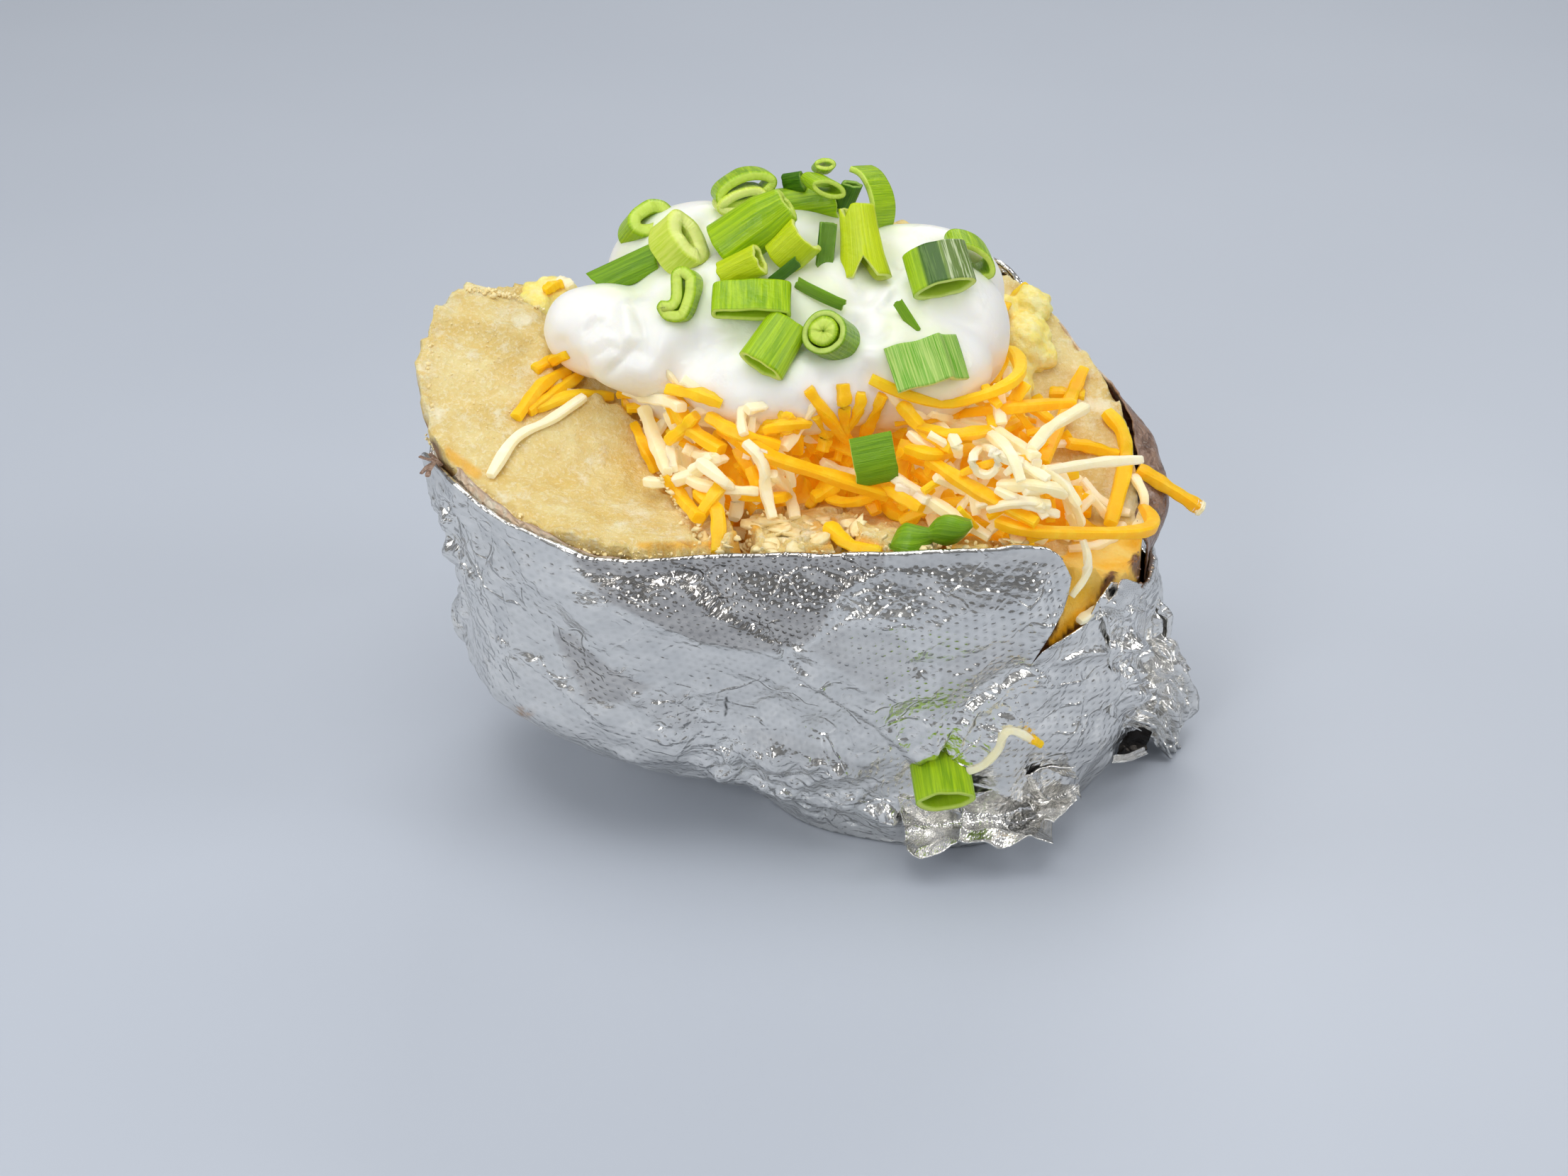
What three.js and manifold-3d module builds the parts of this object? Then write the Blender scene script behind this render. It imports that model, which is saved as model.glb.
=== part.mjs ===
// A loaded baked potato in its foil: a potato baked in its skin, cut open on top and pushed
// apart, sitting in the kitchen foil it was baked in. On the open flesh lie butter and a heap
// of grated cheese, then a large dollop of sour cream with cut scallion pieces on it.
// Millimetres, +Z up. The foil rests on z = 0, the potato's long axis lies along X, and the
// origin is under the middle of the whole.

import * as THREE from 'three';
import { mergeVertices } from 'three/addons/utils/BufferGeometryUtils.js';
import Module from 'manifold-3d';

const wasm = await Module();
wasm.setup();

// ---------------------------------------------------------------- driving dimensions

const GAP = 0.35;                 // clearance between touching pieces
const AXIS_X = -4;                // the upright axis that all the outlines are measured from
const MIDDLE_Y = 1.6;             // the middle of the whole lies this far behind that axis
const FOIL_WALL = 1.2;            // foil with its wrinkles and folded layers
const POTATO_INSET = 2.2;         // from the foil's outside to the skin
const BELLY_HEIGHT = 30;          // height of the widest outline
const FLESH_MIDDLE_HEIGHT = 52;   // the open top dips to this over the axis
const FLESH_RISE = 0.62;          // under 1, the flesh rises fast near the axis and eases to the rim

// Distance of each outline from the axis, and heights along two of them, at 16 even turns
// that start at +X and run towards +Y.
const BASE_RADII = [54, 52, 44, 36, 32, 32, 34, 38, 36, 22, 14, 17, 23, 30, 41, 48];
const BELLY_RADII = [60, 61, 55, 47, 43, 43, 48, 57, 60, 58, 48, 38, 36, 39, 49, 57];
const RIM_RADII = [58, 56, 51, 45, 42, 43, 48, 58, 64, 60, 52, 42, 39, 43, 52, 58];
const RIM_HEIGHTS = [52, 66, 78, 85, 84, 79, 76, 79.5, 79, 67, 64, 63, 63, 63.5, 61, 50];
const HEM_HEIGHTS = [42, 48, 70, 80, 80, 75, 70, 66, 61.5, 63.5, 62.5, 62.5, 62.5, 62.5, 62, 47];

// The foil's front flap ends in a slanting edge, so the hem drops into a notch there.
const NOTCH = { start: 317, end: 338, low: 39, high: 47 };

// The peak of the left half of the cut: it stands above the even rim.
const PEAK = { turn: 168, height: 4, spread: 8 };

// The crumpled end of the sheet: a lump with pleats, each band of it turned against the last.
const CRUMPLE = { at: [58, 0, 13], size: [9, 10, 12], waves: 5, depth: 0.14, twist: 1.7 };
const FOIL_TAB = { at: [25, -27, 4], size: [15, 7, 4] };

// The heap of cheese: its outline's middle and half sizes, how thick it is in the middle, how
// steeply its edge rises, how far it goes into the flesh, and its distance from the rim.
const CHEESE = { at: [11, -9], size: [43, 26], height: 12.5, edge: 0.6, sink: 3, rim: 4 };

// Lobes of sour cream, each an ellipsoid: centre, then half sizes.
const CREAM_LOBES = [
  { at: [-8, 6, 74], size: [29, 16, 14] },
  { at: [-8, 8, 80], size: [28, 17, 15] },
  { at: [-8, 15, 86], size: [20.5, 12.5, 12] },
  { at: [-37.5, 4.5, 80.5], size: [10, 8, 8] },
  { at: [-27, -1, 80], size: [14, 8.5, 8] },
  { at: [-7, -8, 77], size: [18, 9, 8] },
  { at: [9, -4, 78], size: [16, 9.5, 9.5] },
  { at: [16, 5, 80], size: [12.5, 10.5, 12.5] },
  { at: [-24, 17, 83], size: [14, 10.5, 14] },
  { at: [12, 15, 82], size: [16.5, 10.5, 13] },
];

// Lumps of crushed butter beside the cream, each named lump a few ellipsoids.
const BUTTER_LUMPS = {
  butter_right: [
    { at: [33, 24, 69], size: [5, 7, 5.5] },
    { at: [31, 17, 65], size: [4, 6, 4.5] },
    { at: [35, 30, 73], size: [4, 4, 3.5] },
  ],
  butter_left: [
    { at: [-48, 24, 77], size: [5, 4, 4] },
    { at: [-44, 20, 74], size: [4, 4, 3.5] },
  ],
};

// Cut scallions, pieces of hollow leaf or stalk. Each row is the middle of the piece, the way
// the leaf grew, the wide way of its flattened section, that width, the section's thickness,
// the leaf's wall, the piece's length and, where the leaf was slit, how much of the section is
// left, in degrees.
const SCALLIONS = [
  [[-31, 17, 94], [0.4, -0.6, 0.7], [0.8, 0.5, 0.3], 8.5, 5.5, 1.1, 5],
  [[-33.6, 8.7, 89.2], [0.9, 0.1, 0.4], [-0.4, 0.5, 0.8], 4.8, 2.4, 0.6, 11],
  [[-25, 7.5, 94.2], [0.6, -0.4, 0.7], [0.5, -0.5, -0.7], 10, 7, 1.7, 4.5],
  [[-24.2, -3.2, 90.3], [-0.3, -0.8, 0.5], [0.4, 0.4, 0.8], 9.5, 6.5, 1.3, 3.2, 290],
  [[-12.7, 6.5, 98], [0.8, 0, 0.6], [-0.5, 0.5, 0.7], 9, 7, 1, 13],
  [[-14.6, 16, 100.7], [0.2, -1, 0.2], [1, 0, 0.3], 10.5, 5.5, 1.1, 5],
  [[-4, 17, 98], [1, -0.1, 0.2], [-0.1, 0.5, 0.8], 6.5, 5, 0.8, 9.5],
  [[-1.6, 13, 102.2], [0.4, -0.9, 0.1], [0.9, 0.1, -0.4], 6.5, 3, 0.6, 4.5],
  [[-1.5, 17, 104], [0.2, -0.8, 0.6], [1, 0.2, -0.1], 3.6, 2.2, 0.6, 2.5],
  [[8.4, 18, 98.6], [0.62, 0.69, -0.24], [-0.25, 0.5, 0.81], 15, 15, 1, 5.5, 100],
  [[4.4, 6.5, 95.1], [-0.1, 0.7, 0.7], [1, 0, 0], 7.5, 4, 0.9, 12.5],
  [[-1.3, 5.2, 95], [0.1, 0.6, 0.8], [1, 0.2, -0.2], 6, 6, 0.6, 7.5, 60],
  [[-6.6, 3.5, 95.7], [0.7, 0, 0.7], [-0.5, 0.1, 0.8], 7, 6, 0.9, 6, 200],
  [[-14.7, -1.1, 94], [0.8, -0.2, 0.5], [-0.4, 0.5, 0.8], 5.2, 4, 0.8, 7],
  [[-7.9, -1.5, 93.3], [0.8, 0.2, 0.6], [-0.6, 0, 0.8], 4, 4, 0.5, 5.5, 60],
  [[-13.1, -6, 90.7], [0, -0.9, -0.4], [1, 0, 0], 12.5, 3.6, 0.8, 6],
  [[-2.5, -4.6, 90.8], [0.9, -0.4, -0.3], [0.4, -0.1, 0.9], 5, 5, 0.7, 8.5, 50],
  [[-9.4, -12, 85.7], [-0.5, -0.7, -0.5], [0.8, -0.3, -0.5], 7, 5, 0.9, 9],
  [[-0.6, -10.2, 86.3], [-0.4, -0.7, 0.6], [0.9, -0.3, 0.3], 7.4, 7, 2.2, 6],
  [[11.6, -6.5, 87.6], [0.5, -0.6, -0.6], [0.8, 0.1, 0.6], 4, 4, 0.5, 5.8, 50],
  [[14.7, -13, 83.5], [0.3, -0.7, -0.7], [1, 0.3, 0.1], 13, 5, 1.1, 7.5, 170],
  [[16.8, 0, 93.2], [0.2, -0.8, -0.5], [1, 0, 0.2], 10.5, 5, 0.9, 7.5],
  [[22.3, 10, 91.6], [0.1, -1, 0], [0.8, -0.3, -0.6], 9, 5, 1, 6],
  [[6.2, -23.5, 71.3], [1, 0.1, 0.17], [-0.2, 0.28, 0.94], 8.2, 3, 0.9, 6.6, 150],
  [[14.4, -36.4, 65.6], [0.9, 0, 0.3], [-0.2, 0.2, 1], 6, 3, 0.8, 13],
  [[17.6, -36.2, 18.8], [0.1, -0.8, -0.6], [1, 0, 0], 9.8, 5.5, 1.1, 8],
].map(([at, axis, across, width, thick, wall, length, sweep = 360]) => (
  { at, axis, across, width, thick, wall, length, sweep }));

// How finely the pieces are faceted.
const FOIL_SIDES = 64;
const POTATO_SIDES = 44;
const CHEESE_SIDES = 26;
const LOBE_SIDES = 11;
const LOBE_BANDS = 6;
const LEAF_SIDES = 5;
const CRUMPLE_SIDES = 20;
const CRUMPLE_BANDS = [-60, -30, 0, 30, 60];     // degrees up from its middle
const UNDERSIDE_LEVELS = [4, 11, 20];            // heights of outlines below the belly
const ABOVE_ALL = 95;                            // a height clear of foil, flesh and cheese

// ---------------------------------------------------------------- outlines

// The value at a turn, in degrees, of a closed row of even values joined by a smooth curve.
function around(values, turn) {
  const count = values.length;
  const place = (((turn % 360) + 360) % 360) / (360 / count);
  const index = Math.floor(place);
  const part = place - index;
  const [a, b, c, d] = [-1, 0, 1, 2].map((step) => values[(index + step + count) % count]);
  return b + 0.5 * part * (c - a + part * (2 * a - 5 * b + 4 * c - d + part * (3 * (b - c) + d - a)));
}

function rimHeight(turn) {
  const away = (turn - PEAK.turn) / PEAK.spread;
  return around(RIM_HEIGHTS, turn) + PEAK.height * Math.exp(-away * away);
}

function hemHeight(turn) {
  if (turn < NOTCH.start || turn > NOTCH.end) return around(HEM_HEIGHTS, turn);
  const part = (turn - NOTCH.start) / (NOTCH.end - NOTCH.start);
  return THREE.MathUtils.lerp(NOTCH.low, NOTCH.high, part);
}

// Outside of the wrapped potato: a rounded underside up to the belly, then an easy curve in
// or out to the rim.
function sideRadius(turn, height) {
  const base = around(BASE_RADII, turn);
  const belly = around(BELLY_RADII, turn);
  if (height < BELLY_HEIGHT) {
    return base + (belly - base) * Math.sin((Math.PI / 2) * (height / BELLY_HEIGHT));
  }
  const part = Math.min((height - BELLY_HEIGHT) / (around(RIM_HEIGHTS, turn) - BELLY_HEIGHT), 1);
  return THREE.MathUtils.lerp(belly, around(RIM_RADII, turn), part * part * (3 - 2 * part));
}

function onTurn(turn, radius, height) {
  const angle = THREE.MathUtils.degToRad(turn);
  return [AXIS_X + radius * Math.cos(angle), radius * Math.sin(angle), height];
}

// The open flesh: a shallow bowl from the rim down to the middle.
function fleshHeight(x, y) {
  const turn = THREE.MathUtils.radToDeg(Math.atan2(y, x - AXIS_X));
  const part = Math.min(Math.hypot(x - AXIS_X, y) / (around(RIM_RADII, turn) - POTATO_INSET), 1);
  return THREE.MathUtils.lerp(FLESH_MIDDLE_HEIGHT, rimHeight((turn + 360) % 360), part ** FLESH_RISE);
}

// ---------------------------------------------------------------- solids

// A closed skin over rings of points, each ring as long as the next, with a point at each end.
function loft(first, rings, last) {
  const sides = rings[0].length;
  const points = [first, ...rings.flat(), last];
  const faces = [];
  const at = (ring, side) => 1 + ring * sides + (side % sides);
  for (let side = 0; side < sides; side++) {
    faces.push(0, at(0, side + 1), at(0, side));
    for (let ring = 0; ring + 1 < rings.length; ring++) {
      faces.push(at(ring, side), at(ring, side + 1), at(ring + 1, side + 1));
      faces.push(at(ring, side), at(ring + 1, side + 1), at(ring + 1, side));
    }
    faces.push(points.length - 1, at(rings.length - 1, side), at(rings.length - 1, side + 1));
  }
  const geometry = new THREE.BufferGeometry();
  geometry.setAttribute('position', new THREE.Float32BufferAttribute(points.flat(), 3));
  geometry.setIndex(faces);
  return geometry;
}

function ring(sides, place) {
  return Array.from({ length: sides }, (_, side) => place((360 * side) / sides));
}

function toSolid(geometry) {
  const bare = geometry.clone();
  bare.deleteAttribute('normal');
  bare.deleteAttribute('uv');
  const merged = mergeVertices(bare, 1e-4);
  return new wasm.Manifold(new wasm.Mesh({
    numProp: 3,
    vertProperties: new Float32Array(merged.attributes.position.array),
    triVerts: new Uint32Array(merged.index.array),
  }));
}

function toGeometry(solid) {
  const mesh = solid.getMesh();
  const geometry = new THREE.BufferGeometry();
  geometry.setAttribute('position', new THREE.BufferAttribute(mesh.vertProperties, 3));
  geometry.setIndex(new THREE.BufferAttribute(mesh.triVerts, 1));
  return geometry;
}

// Of a solid that a cut has left in pieces, the largest.
function largest(solid) {
  const parts = solid.decompose();
  parts.sort((a, b) => b.volume() - a.volume());
  return parts[0];
}

// The solid with its underside cut to lie on its neighbours, which are named from the lowest
// up. A lower one is cut away a little higher, so that no sliver is left between two of them.
function restOn(solid, neighbours) {
  let cut = solid;
  neighbours.forEach((neighbour, index) => {
    const lift = GAP * (neighbours.length - index);
    cut = cut.subtract(neighbour.translate([0, 0, lift])).subtract(neighbour);
  });
  return largest(cut);
}

function ellipsoid({ at, size }) {
  const ball = new THREE.SphereGeometry(1, LOBE_SIDES, LOBE_BANDS);
  ball.rotateX(Math.PI / 2);
  ball.scale(...size);
  ball.translate(...at);
  return toSolid(ball);
}

// ---------------------------------------------------------------- foil

function foilShell() {
  const outer = [0, ...UNDERSIDE_LEVELS, BELLY_HEIGHT].map((height) =>
    ring(FOIL_SIDES, (turn) => onTurn(turn, sideRadius(turn, height), height)));
  const upper = (part, inset) => ring(FOIL_SIDES, (turn) => {
    const height = THREE.MathUtils.lerp(BELLY_HEIGHT, hemHeight(turn), part);
    return onTurn(turn, sideRadius(turn, height) - inset, height);
  });
  const inner = [...UNDERSIDE_LEVELS.toReversed(), FOIL_WALL].map((height) =>
    ring(FOIL_SIDES, (turn) => onTurn(turn, sideRadius(turn, height) - FOIL_WALL, height)));
  const rings = [
    ...outer, upper(0.5, 0), upper(1, 0),
    upper(1, FOIL_WALL), upper(0.5, FOIL_WALL), upper(0, FOIL_WALL), ...inner,
  ];
  return toSolid(loft([AXIS_X, 0, 0], rings, [AXIS_X, 0, FOIL_WALL]));
}

// Inside of the foil, filled: what is added to the foil stays out of it.
function foilRoom() {
  const middle = FOIL_WALL / 2;
  const levels = [middle, ...UNDERSIDE_LEVELS, BELLY_HEIGHT, FLESH_MIDDLE_HEIGHT, ABOVE_ALL];
  const rings = levels.map((height) =>
    ring(FOIL_SIDES, (turn) => onTurn(turn, sideRadius(turn, height) - middle, height)));
  return toSolid(loft([AXIS_X, 0, middle], rings, [AXIS_X, 0, ABOVE_ALL]));
}

// The twisted-up end of the sheet: a lump whose surface is pleated all round.
function crumpledEnd() {
  const { at, size, waves, depth, twist } = CRUMPLE;
  const rings = CRUMPLE_BANDS.map((band, index) => ring(CRUMPLE_SIDES, (turn) => {
    const angle = THREE.MathUtils.degToRad(turn);
    const swell = 1 + depth * Math.cos(waves * angle + index * twist);
    const reach = Math.cos(THREE.MathUtils.degToRad(band)) * swell;
    return [
      at[0] + size[0] * reach * Math.cos(angle),
      at[1] + size[1] * reach * Math.sin(angle),
      at[2] + size[2] * Math.sin(THREE.MathUtils.degToRad(band)),
    ];
  }));
  const bottom = [at[0], at[1], at[2] - size[2]];
  const top = [at[0], at[1], at[2] + size[2]];
  return toSolid(loft(bottom, rings, top));
}

function makeFoil() {
  const room = foilRoom();
  return largest(foilShell()
    .add(crumpledEnd().subtract(room))
    .add(ellipsoid(FOIL_TAB).subtract(room)));
}

// ---------------------------------------------------------------- potato

function makePotato() {
  const inset = POTATO_INSET;
  const sideRing = (height, part) => ring(POTATO_SIDES, (turn) => {
    const z = THREE.MathUtils.lerp(height, rimHeight(turn), part);
    return onTurn(turn, sideRadius(turn, z) - inset, z);
  });
  const topRing = (part) => ring(POTATO_SIDES, (turn) => {
    const reach = part * (around(RIM_RADII, turn) - inset);
    const [x, y] = onTurn(turn, reach, 0);
    return [x, y, fleshHeight(x, y)];
  });
  const rings = [
    ...[inset, ...UNDERSIDE_LEVELS, BELLY_HEIGHT].map((height) => sideRing(height, 0)),
    sideRing(BELLY_HEIGHT, 0.5), sideRing(BELLY_HEIGHT, 1),
    ...[0.85, 0.65, 0.4, 0.2].map(topRing),
  ];
  const bottom = [AXIS_X, 0, inset];
  const middle = [AXIS_X, 0, FLESH_MIDDLE_HEIGHT];
  return toSolid(loft(bottom, rings, middle));
}

// ---------------------------------------------------------------- toppings

// Grated cheese: a low heap over the flesh, thickest a little in front of the middle.
function makeCheese(potato) {
  const { at, size, height, edge, sink, rim } = CHEESE;
  const place = (part) => ring(CHEESE_SIDES, (turn) => {
    const angle = THREE.MathUtils.degToRad(turn);
    const x = at[0] + size[0] * part * Math.cos(angle);
    const y = at[1] + size[1] * part * Math.sin(angle);
    return [x, y, fleshHeight(x, y) + height * (1 - part * part) ** edge];
  });
  const skirt = ring(CHEESE_SIDES, (turn) => {
    const angle = THREE.MathUtils.degToRad(turn);
    const x = at[0] + size[0] * Math.cos(angle);
    const y = at[1] + size[1] * Math.sin(angle);
    return [x, y, fleshHeight(x, y) - sink];
  });
  const bottom = [...at, FLESH_MIDDLE_HEIGHT - sink];
  const top = [...at, fleshHeight(...at) + height];
  const rings = [skirt, ...[0.97, 0.9, 0.75, 0.5, 0.25].map(place)];
  const heap = toSolid(loft(bottom, rings, top));
  const room = toSolid(loft([AXIS_X, 0, 0], [0, ABOVE_ALL].map((z) =>
    ring(POTATO_SIDES, (turn) => onTurn(turn, around(RIM_RADII, turn) - rim, z))), [AXIS_X, 0, ABOVE_ALL]));
  return restOn(heap.intersect(room), [potato]);
}

function joinLobes(lobes) {
  return lobes.map(ellipsoid).reduce((joined, lobe) => joined.add(lobe));
}

// A leaf's section: a flattened ring, or the part of one that a slit has left.
function leafSection({ width, thick, wall, sweep }, grow) {
  const [outerX, outerY] = [width / 2 + grow, thick / 2 + grow];
  const [innerX, innerY] = [Math.max(width / 2 - wall - grow, 0.2), Math.max(thick / 2 - wall - grow, 0.15)];
  if (sweep === 360) {
    const shape = new THREE.Shape().absellipse(0, 0, outerX, outerY, 0, 2 * Math.PI);
    shape.holes.push(new THREE.Path().absellipse(0, 0, innerX, innerY, 0, 2 * Math.PI));
    return { shape, drop: 0 };
  }
  const half = THREE.MathUtils.degToRad(sweep / 2);
  const [from, to] = [Math.PI / 2 - half, Math.PI / 2 + half];
  const shape = new THREE.Shape();
  shape.absellipse(0, 0, outerX, outerY, from, to, false);
  shape.absellipse(0, 0, innerX, innerY, to, from, true);
  return { shape, drop: sweep < 180 ? thick / 2 : 0 };
}

function leaf(piece, grow = 0) {
  const { shape, drop } = leafSection(piece, grow);
  const depth = piece.length + 2 * grow;
  const geometry = new THREE.ExtrudeGeometry(shape, {
    depth,
    bevelEnabled: false,
    curveSegments: LEAF_SIDES,
  });
  geometry.translate(0, -drop, -depth / 2);
  const along = new THREE.Vector3(...piece.axis).normalize();
  const out = new THREE.Vector3().crossVectors(along, new THREE.Vector3(...piece.across)).normalize();
  const across = new THREE.Vector3().crossVectors(out, along);
  geometry.applyMatrix4(new THREE.Matrix4().makeBasis(across, out, along).setPosition(...piece.at));
  return toSolid(geometry);
}

// ---------------------------------------------------------------- assembly

const FOIL_FINISH = { color: 0xb4b8be, roughness: 0.3, metalness: 1 };
const FLESH_FINISH = { color: 0xe2c98c, roughness: 0.6, metalness: 0 };
const BUTTER_FINISH = { color: 0xf6e08a, roughness: 0.5, metalness: 0 };
const CHEESE_FINISH = { color: 0xf59d1c, roughness: 0.55, metalness: 0 };
const CREAM_FINISH = { color: 0xf7f6f0, roughness: 0.3, metalness: 0 };
const SCALLION_FINISH = { color: 0x6fae12, roughness: 0.35, metalness: 0 };

const loadedPotato = new THREE.Group();
loadedPotato.position.y = -MIDDLE_Y;

function addPiece(name, solid, finish) {
  const mesh = new THREE.Mesh(toGeometry(solid), new THREE.MeshStandardMaterial(finish));
  mesh.name = name;
  loadedPotato.add(mesh);
}

const foil = makeFoil();
const potato = makePotato();
const cheese = makeCheese(potato);
const cream = restOn(joinLobes(CREAM_LOBES), [potato, cheese]);

addPiece('foil', foil, FOIL_FINISH);
addPiece('potato', potato, FLESH_FINISH);
addPiece('cheese_heap', cheese, CHEESE_FINISH);
addPiece('sour_cream', cream, CREAM_FINISH);

for (const [name, lobes] of Object.entries(BUTTER_LUMPS)) {
  addPiece(name, restOn(joinLobes(lobes), [potato, cheese, cream]), BUTTER_FINISH);
}

// Room that a piece leaning on the front of the foil keeps clear of.
const foilFront = foil.add(foil.translate([0, -GAP, 0]));

SCALLIONS.forEach((piece, index) => {
  let solid = restOn(leaf(piece), [potato, cheese, cream]).subtract(foilFront);
  for (const earlier of SCALLIONS.slice(0, index)) {
    solid = solid.subtract(leaf(earlier, GAP));
  }
  const number = String(index + 1).padStart(2, '0');
  addPiece(`scallion_${number}`, largest(solid), SCALLION_FINISH);
});

export default loadedPotato;
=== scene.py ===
import math
import random

import bmesh
import bpy
import numpy as np
from mathutils import Euler, Matrix, Vector
from mathutils.bvhtree import BVHTree


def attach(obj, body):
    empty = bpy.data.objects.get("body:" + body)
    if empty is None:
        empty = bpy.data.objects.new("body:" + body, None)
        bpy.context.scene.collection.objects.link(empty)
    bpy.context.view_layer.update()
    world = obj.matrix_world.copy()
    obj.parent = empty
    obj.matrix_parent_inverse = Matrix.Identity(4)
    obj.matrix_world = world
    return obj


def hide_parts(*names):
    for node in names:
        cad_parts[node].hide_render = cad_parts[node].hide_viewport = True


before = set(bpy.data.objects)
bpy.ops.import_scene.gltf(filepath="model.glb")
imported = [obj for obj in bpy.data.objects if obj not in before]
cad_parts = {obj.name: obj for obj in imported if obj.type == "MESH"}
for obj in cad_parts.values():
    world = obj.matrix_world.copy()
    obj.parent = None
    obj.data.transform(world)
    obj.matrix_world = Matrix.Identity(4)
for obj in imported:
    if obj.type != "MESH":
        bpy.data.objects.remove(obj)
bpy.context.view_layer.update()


# ------------------------------------------------------------------ table, light and camera
# The potato stands on a pale, slightly blue table top between five soft boxes. The camera looks
# down on its long side. Sizes are in millimetres until a mesh is finished.

FORWARD_SHIFT = 1.6          # the middle of the whole lies this far behind the potato's axis
CAMERA_AT = np.array([-8.0, -345.0, 245.0])
CAMERA_DIP = math.radians(31.5)
PICTURE_WIDTH = 2212
PICTURE_HEIGHT = 1659
FOCAL_PIXELS = 3300
SENSOR_WIDTH = 36

LOOK = np.array([0, math.cos(CAMERA_DIP), -math.sin(CAMERA_DIP)])
LOOK_UP = np.array([0, math.sin(CAMERA_DIP), math.cos(CAMERA_DIP)])


def in_picture(points):
    """Where points in millimetres stand in the camera's picture, in its pixels."""
    away = points - CAMERA_AT
    depth = away @ LOOK
    across = PICTURE_WIDTH / 2 + FOCAL_PIXELS * away[:, 0] / depth
    down = PICTURE_HEIGHT / 2 - FOCAL_PIXELS * (away @ LOOK_UP) / depth
    return np.stack([across, down], axis=1)


def sight(across, down):
    """The direction of the line of sight through a pixel of the picture."""
    line = (LOOK + np.array([1, 0, 0]) * (across - PICTURE_WIDTH / 2) / FOCAL_PIXELS
            - LOOK_UP * (down - PICTURE_HEIGHT / 2) / FOCAL_PIXELS)
    return line / np.linalg.norm(line)


def in_metres(points):
    return (np.asarray(points) - [0, FORWARD_SHIFT, 0]) * 0.001


class Wire:
    """An output of a node in a finish. A sum written with it adds the Math nodes it needs."""

    def __init__(self, finish, socket):
        self.finish, self.socket = finish, socket

    def math(self, operation, *terms):
        return self.finish.node("ShaderNodeMath", {"operation": operation}, dict(enumerate(terms)))

    def __add__(self, other):
        return self.math("ADD", self, other)

    def __sub__(self, other):
        return self.math("SUBTRACT", self, other)

    def __rsub__(self, other):
        return self.math("SUBTRACT", other, self)

    def __mul__(self, other):
        return self.math("MULTIPLY", self, other)

    def __truediv__(self, other):
        return self.math("DIVIDE", self, other)

    __radd__ = __add__
    __rmul__ = __mul__

    def cosine(self):
        return self.math("COSINE", self)

    def step(self, low, high):
        """0 below low, 1 above high and an even rise between them."""
        return self.finish.node("ShaderNodeMapRange", {"clamp": True},
                                {"Value": self, "From Min": low, "From Max": high})


class Finish:
    """A finish: a material, its one shader, and the ways its nodes are made."""

    def __init__(self, name, **settings):
        self.material = bpy.data.materials.new(name)
        self.material.use_nodes = True
        self.tree = self.material.node_tree
        self.shader = self.tree.nodes["Principled BSDF"]
        self.shader.inputs["Subsurface Scale"].default_value = 1     # so that its radii are in metres
        for label, value in settings.items():
            self.shader.inputs[label.replace("_", " ")].default_value = value
        self.place = self.node("ShaderNodeTexCoord", output="Object")

    def node(self, kind, settings=None, sockets=None, output=0):
        node = self.tree.nodes.new(kind)
        for label, value in (settings or {}).items():
            setattr(node, label, value)
        for label, value in (sockets or {}).items():
            self.feed(node.inputs[label], value)
        return Wire(self, node.outputs[output])

    def feed(self, socket, value):
        if isinstance(value, Wire):
            self.tree.links.new(value.socket, socket)
        else:
            socket.default_value = value

    def varies(self, **wires):
        for label, wire in wires.items():
            self.feed(self.shader.inputs[label.replace("_", " ")], wire)

    def noise(self, size, detail=3, roughness=0.5, stretch=None, place=None):
        """Cloudy noise with lumps about size thousandths across, which are millimetres in a mesh."""
        place = place or self.place
        if stretch:
            place = self.node("ShaderNodeMapping", {}, {"Vector": place, "Scale": stretch})
        return self.node("ShaderNodeTexNoise", {}, {
            "Vector": place, "Scale": 1000 / size, "Detail": detail, "Roughness": roughness})

    def cells(self, size, stray, detail):
        """How far each spot is from the edge of its cell, in a wandering net of cells of a size."""
        drawn = self.node("ShaderNodeTexNoise", {},
                          {"Vector": self.place, "Scale": stray / size, "Detail": detail}, output=1)
        moved = self.node("ShaderNodeVectorMath", {"operation": "MULTIPLY_ADD"},
                          {0: drawn, 1: (size * 0.0012,) * 3, 2: self.place})
        return self.node("ShaderNodeTexVoronoi", {"feature": "DISTANCE_TO_EDGE"},
                         {"Vector": moved, "Scale": 1000 / size})

    def wrinkles(self, size, thin):
        """A net of thin lines about size millimetres apart: 1 on a line, falling to 0 beside it."""
        return 1 - self.cells(size, 700, 2).step(0, thin)

    def facets(self, size):
        """Flat facets about size millimetres across, as heights in millimetres at a slope of 1."""
        return self.cells(size, 600, 1) * size

    def along(self, place, axis):
        return self.node("ShaderNodeSeparateXYZ", {}, {"Vector": place}, output=axis)

    def mix(self, part, first, second):
        return self.node("ShaderNodeMix", {"data_type": "RGBA"},
                         {0: part, 6: first, 7: second}, output=2)

    def attribute(self, name, output="Fac"):
        return self.node("ShaderNodeAttribute", {"attribute_name": name}, output=output)

    def bump(self, *reliefs):
        """Reliefs laid over each other, each a height wire and its depth in millimetres."""
        normal = None
        for height, depth in reliefs:
            sockets = {"Height": height, "Distance": depth * 0.001, "Strength": 1}
            if normal:
                sockets["Normal"] = normal
            normal = self.node("ShaderNodeBump", {}, sockets)
        self.feed(self.shader.inputs["Normal"], normal)


def colour(red, green, blue):
    return (red, green, blue, 1)


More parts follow.
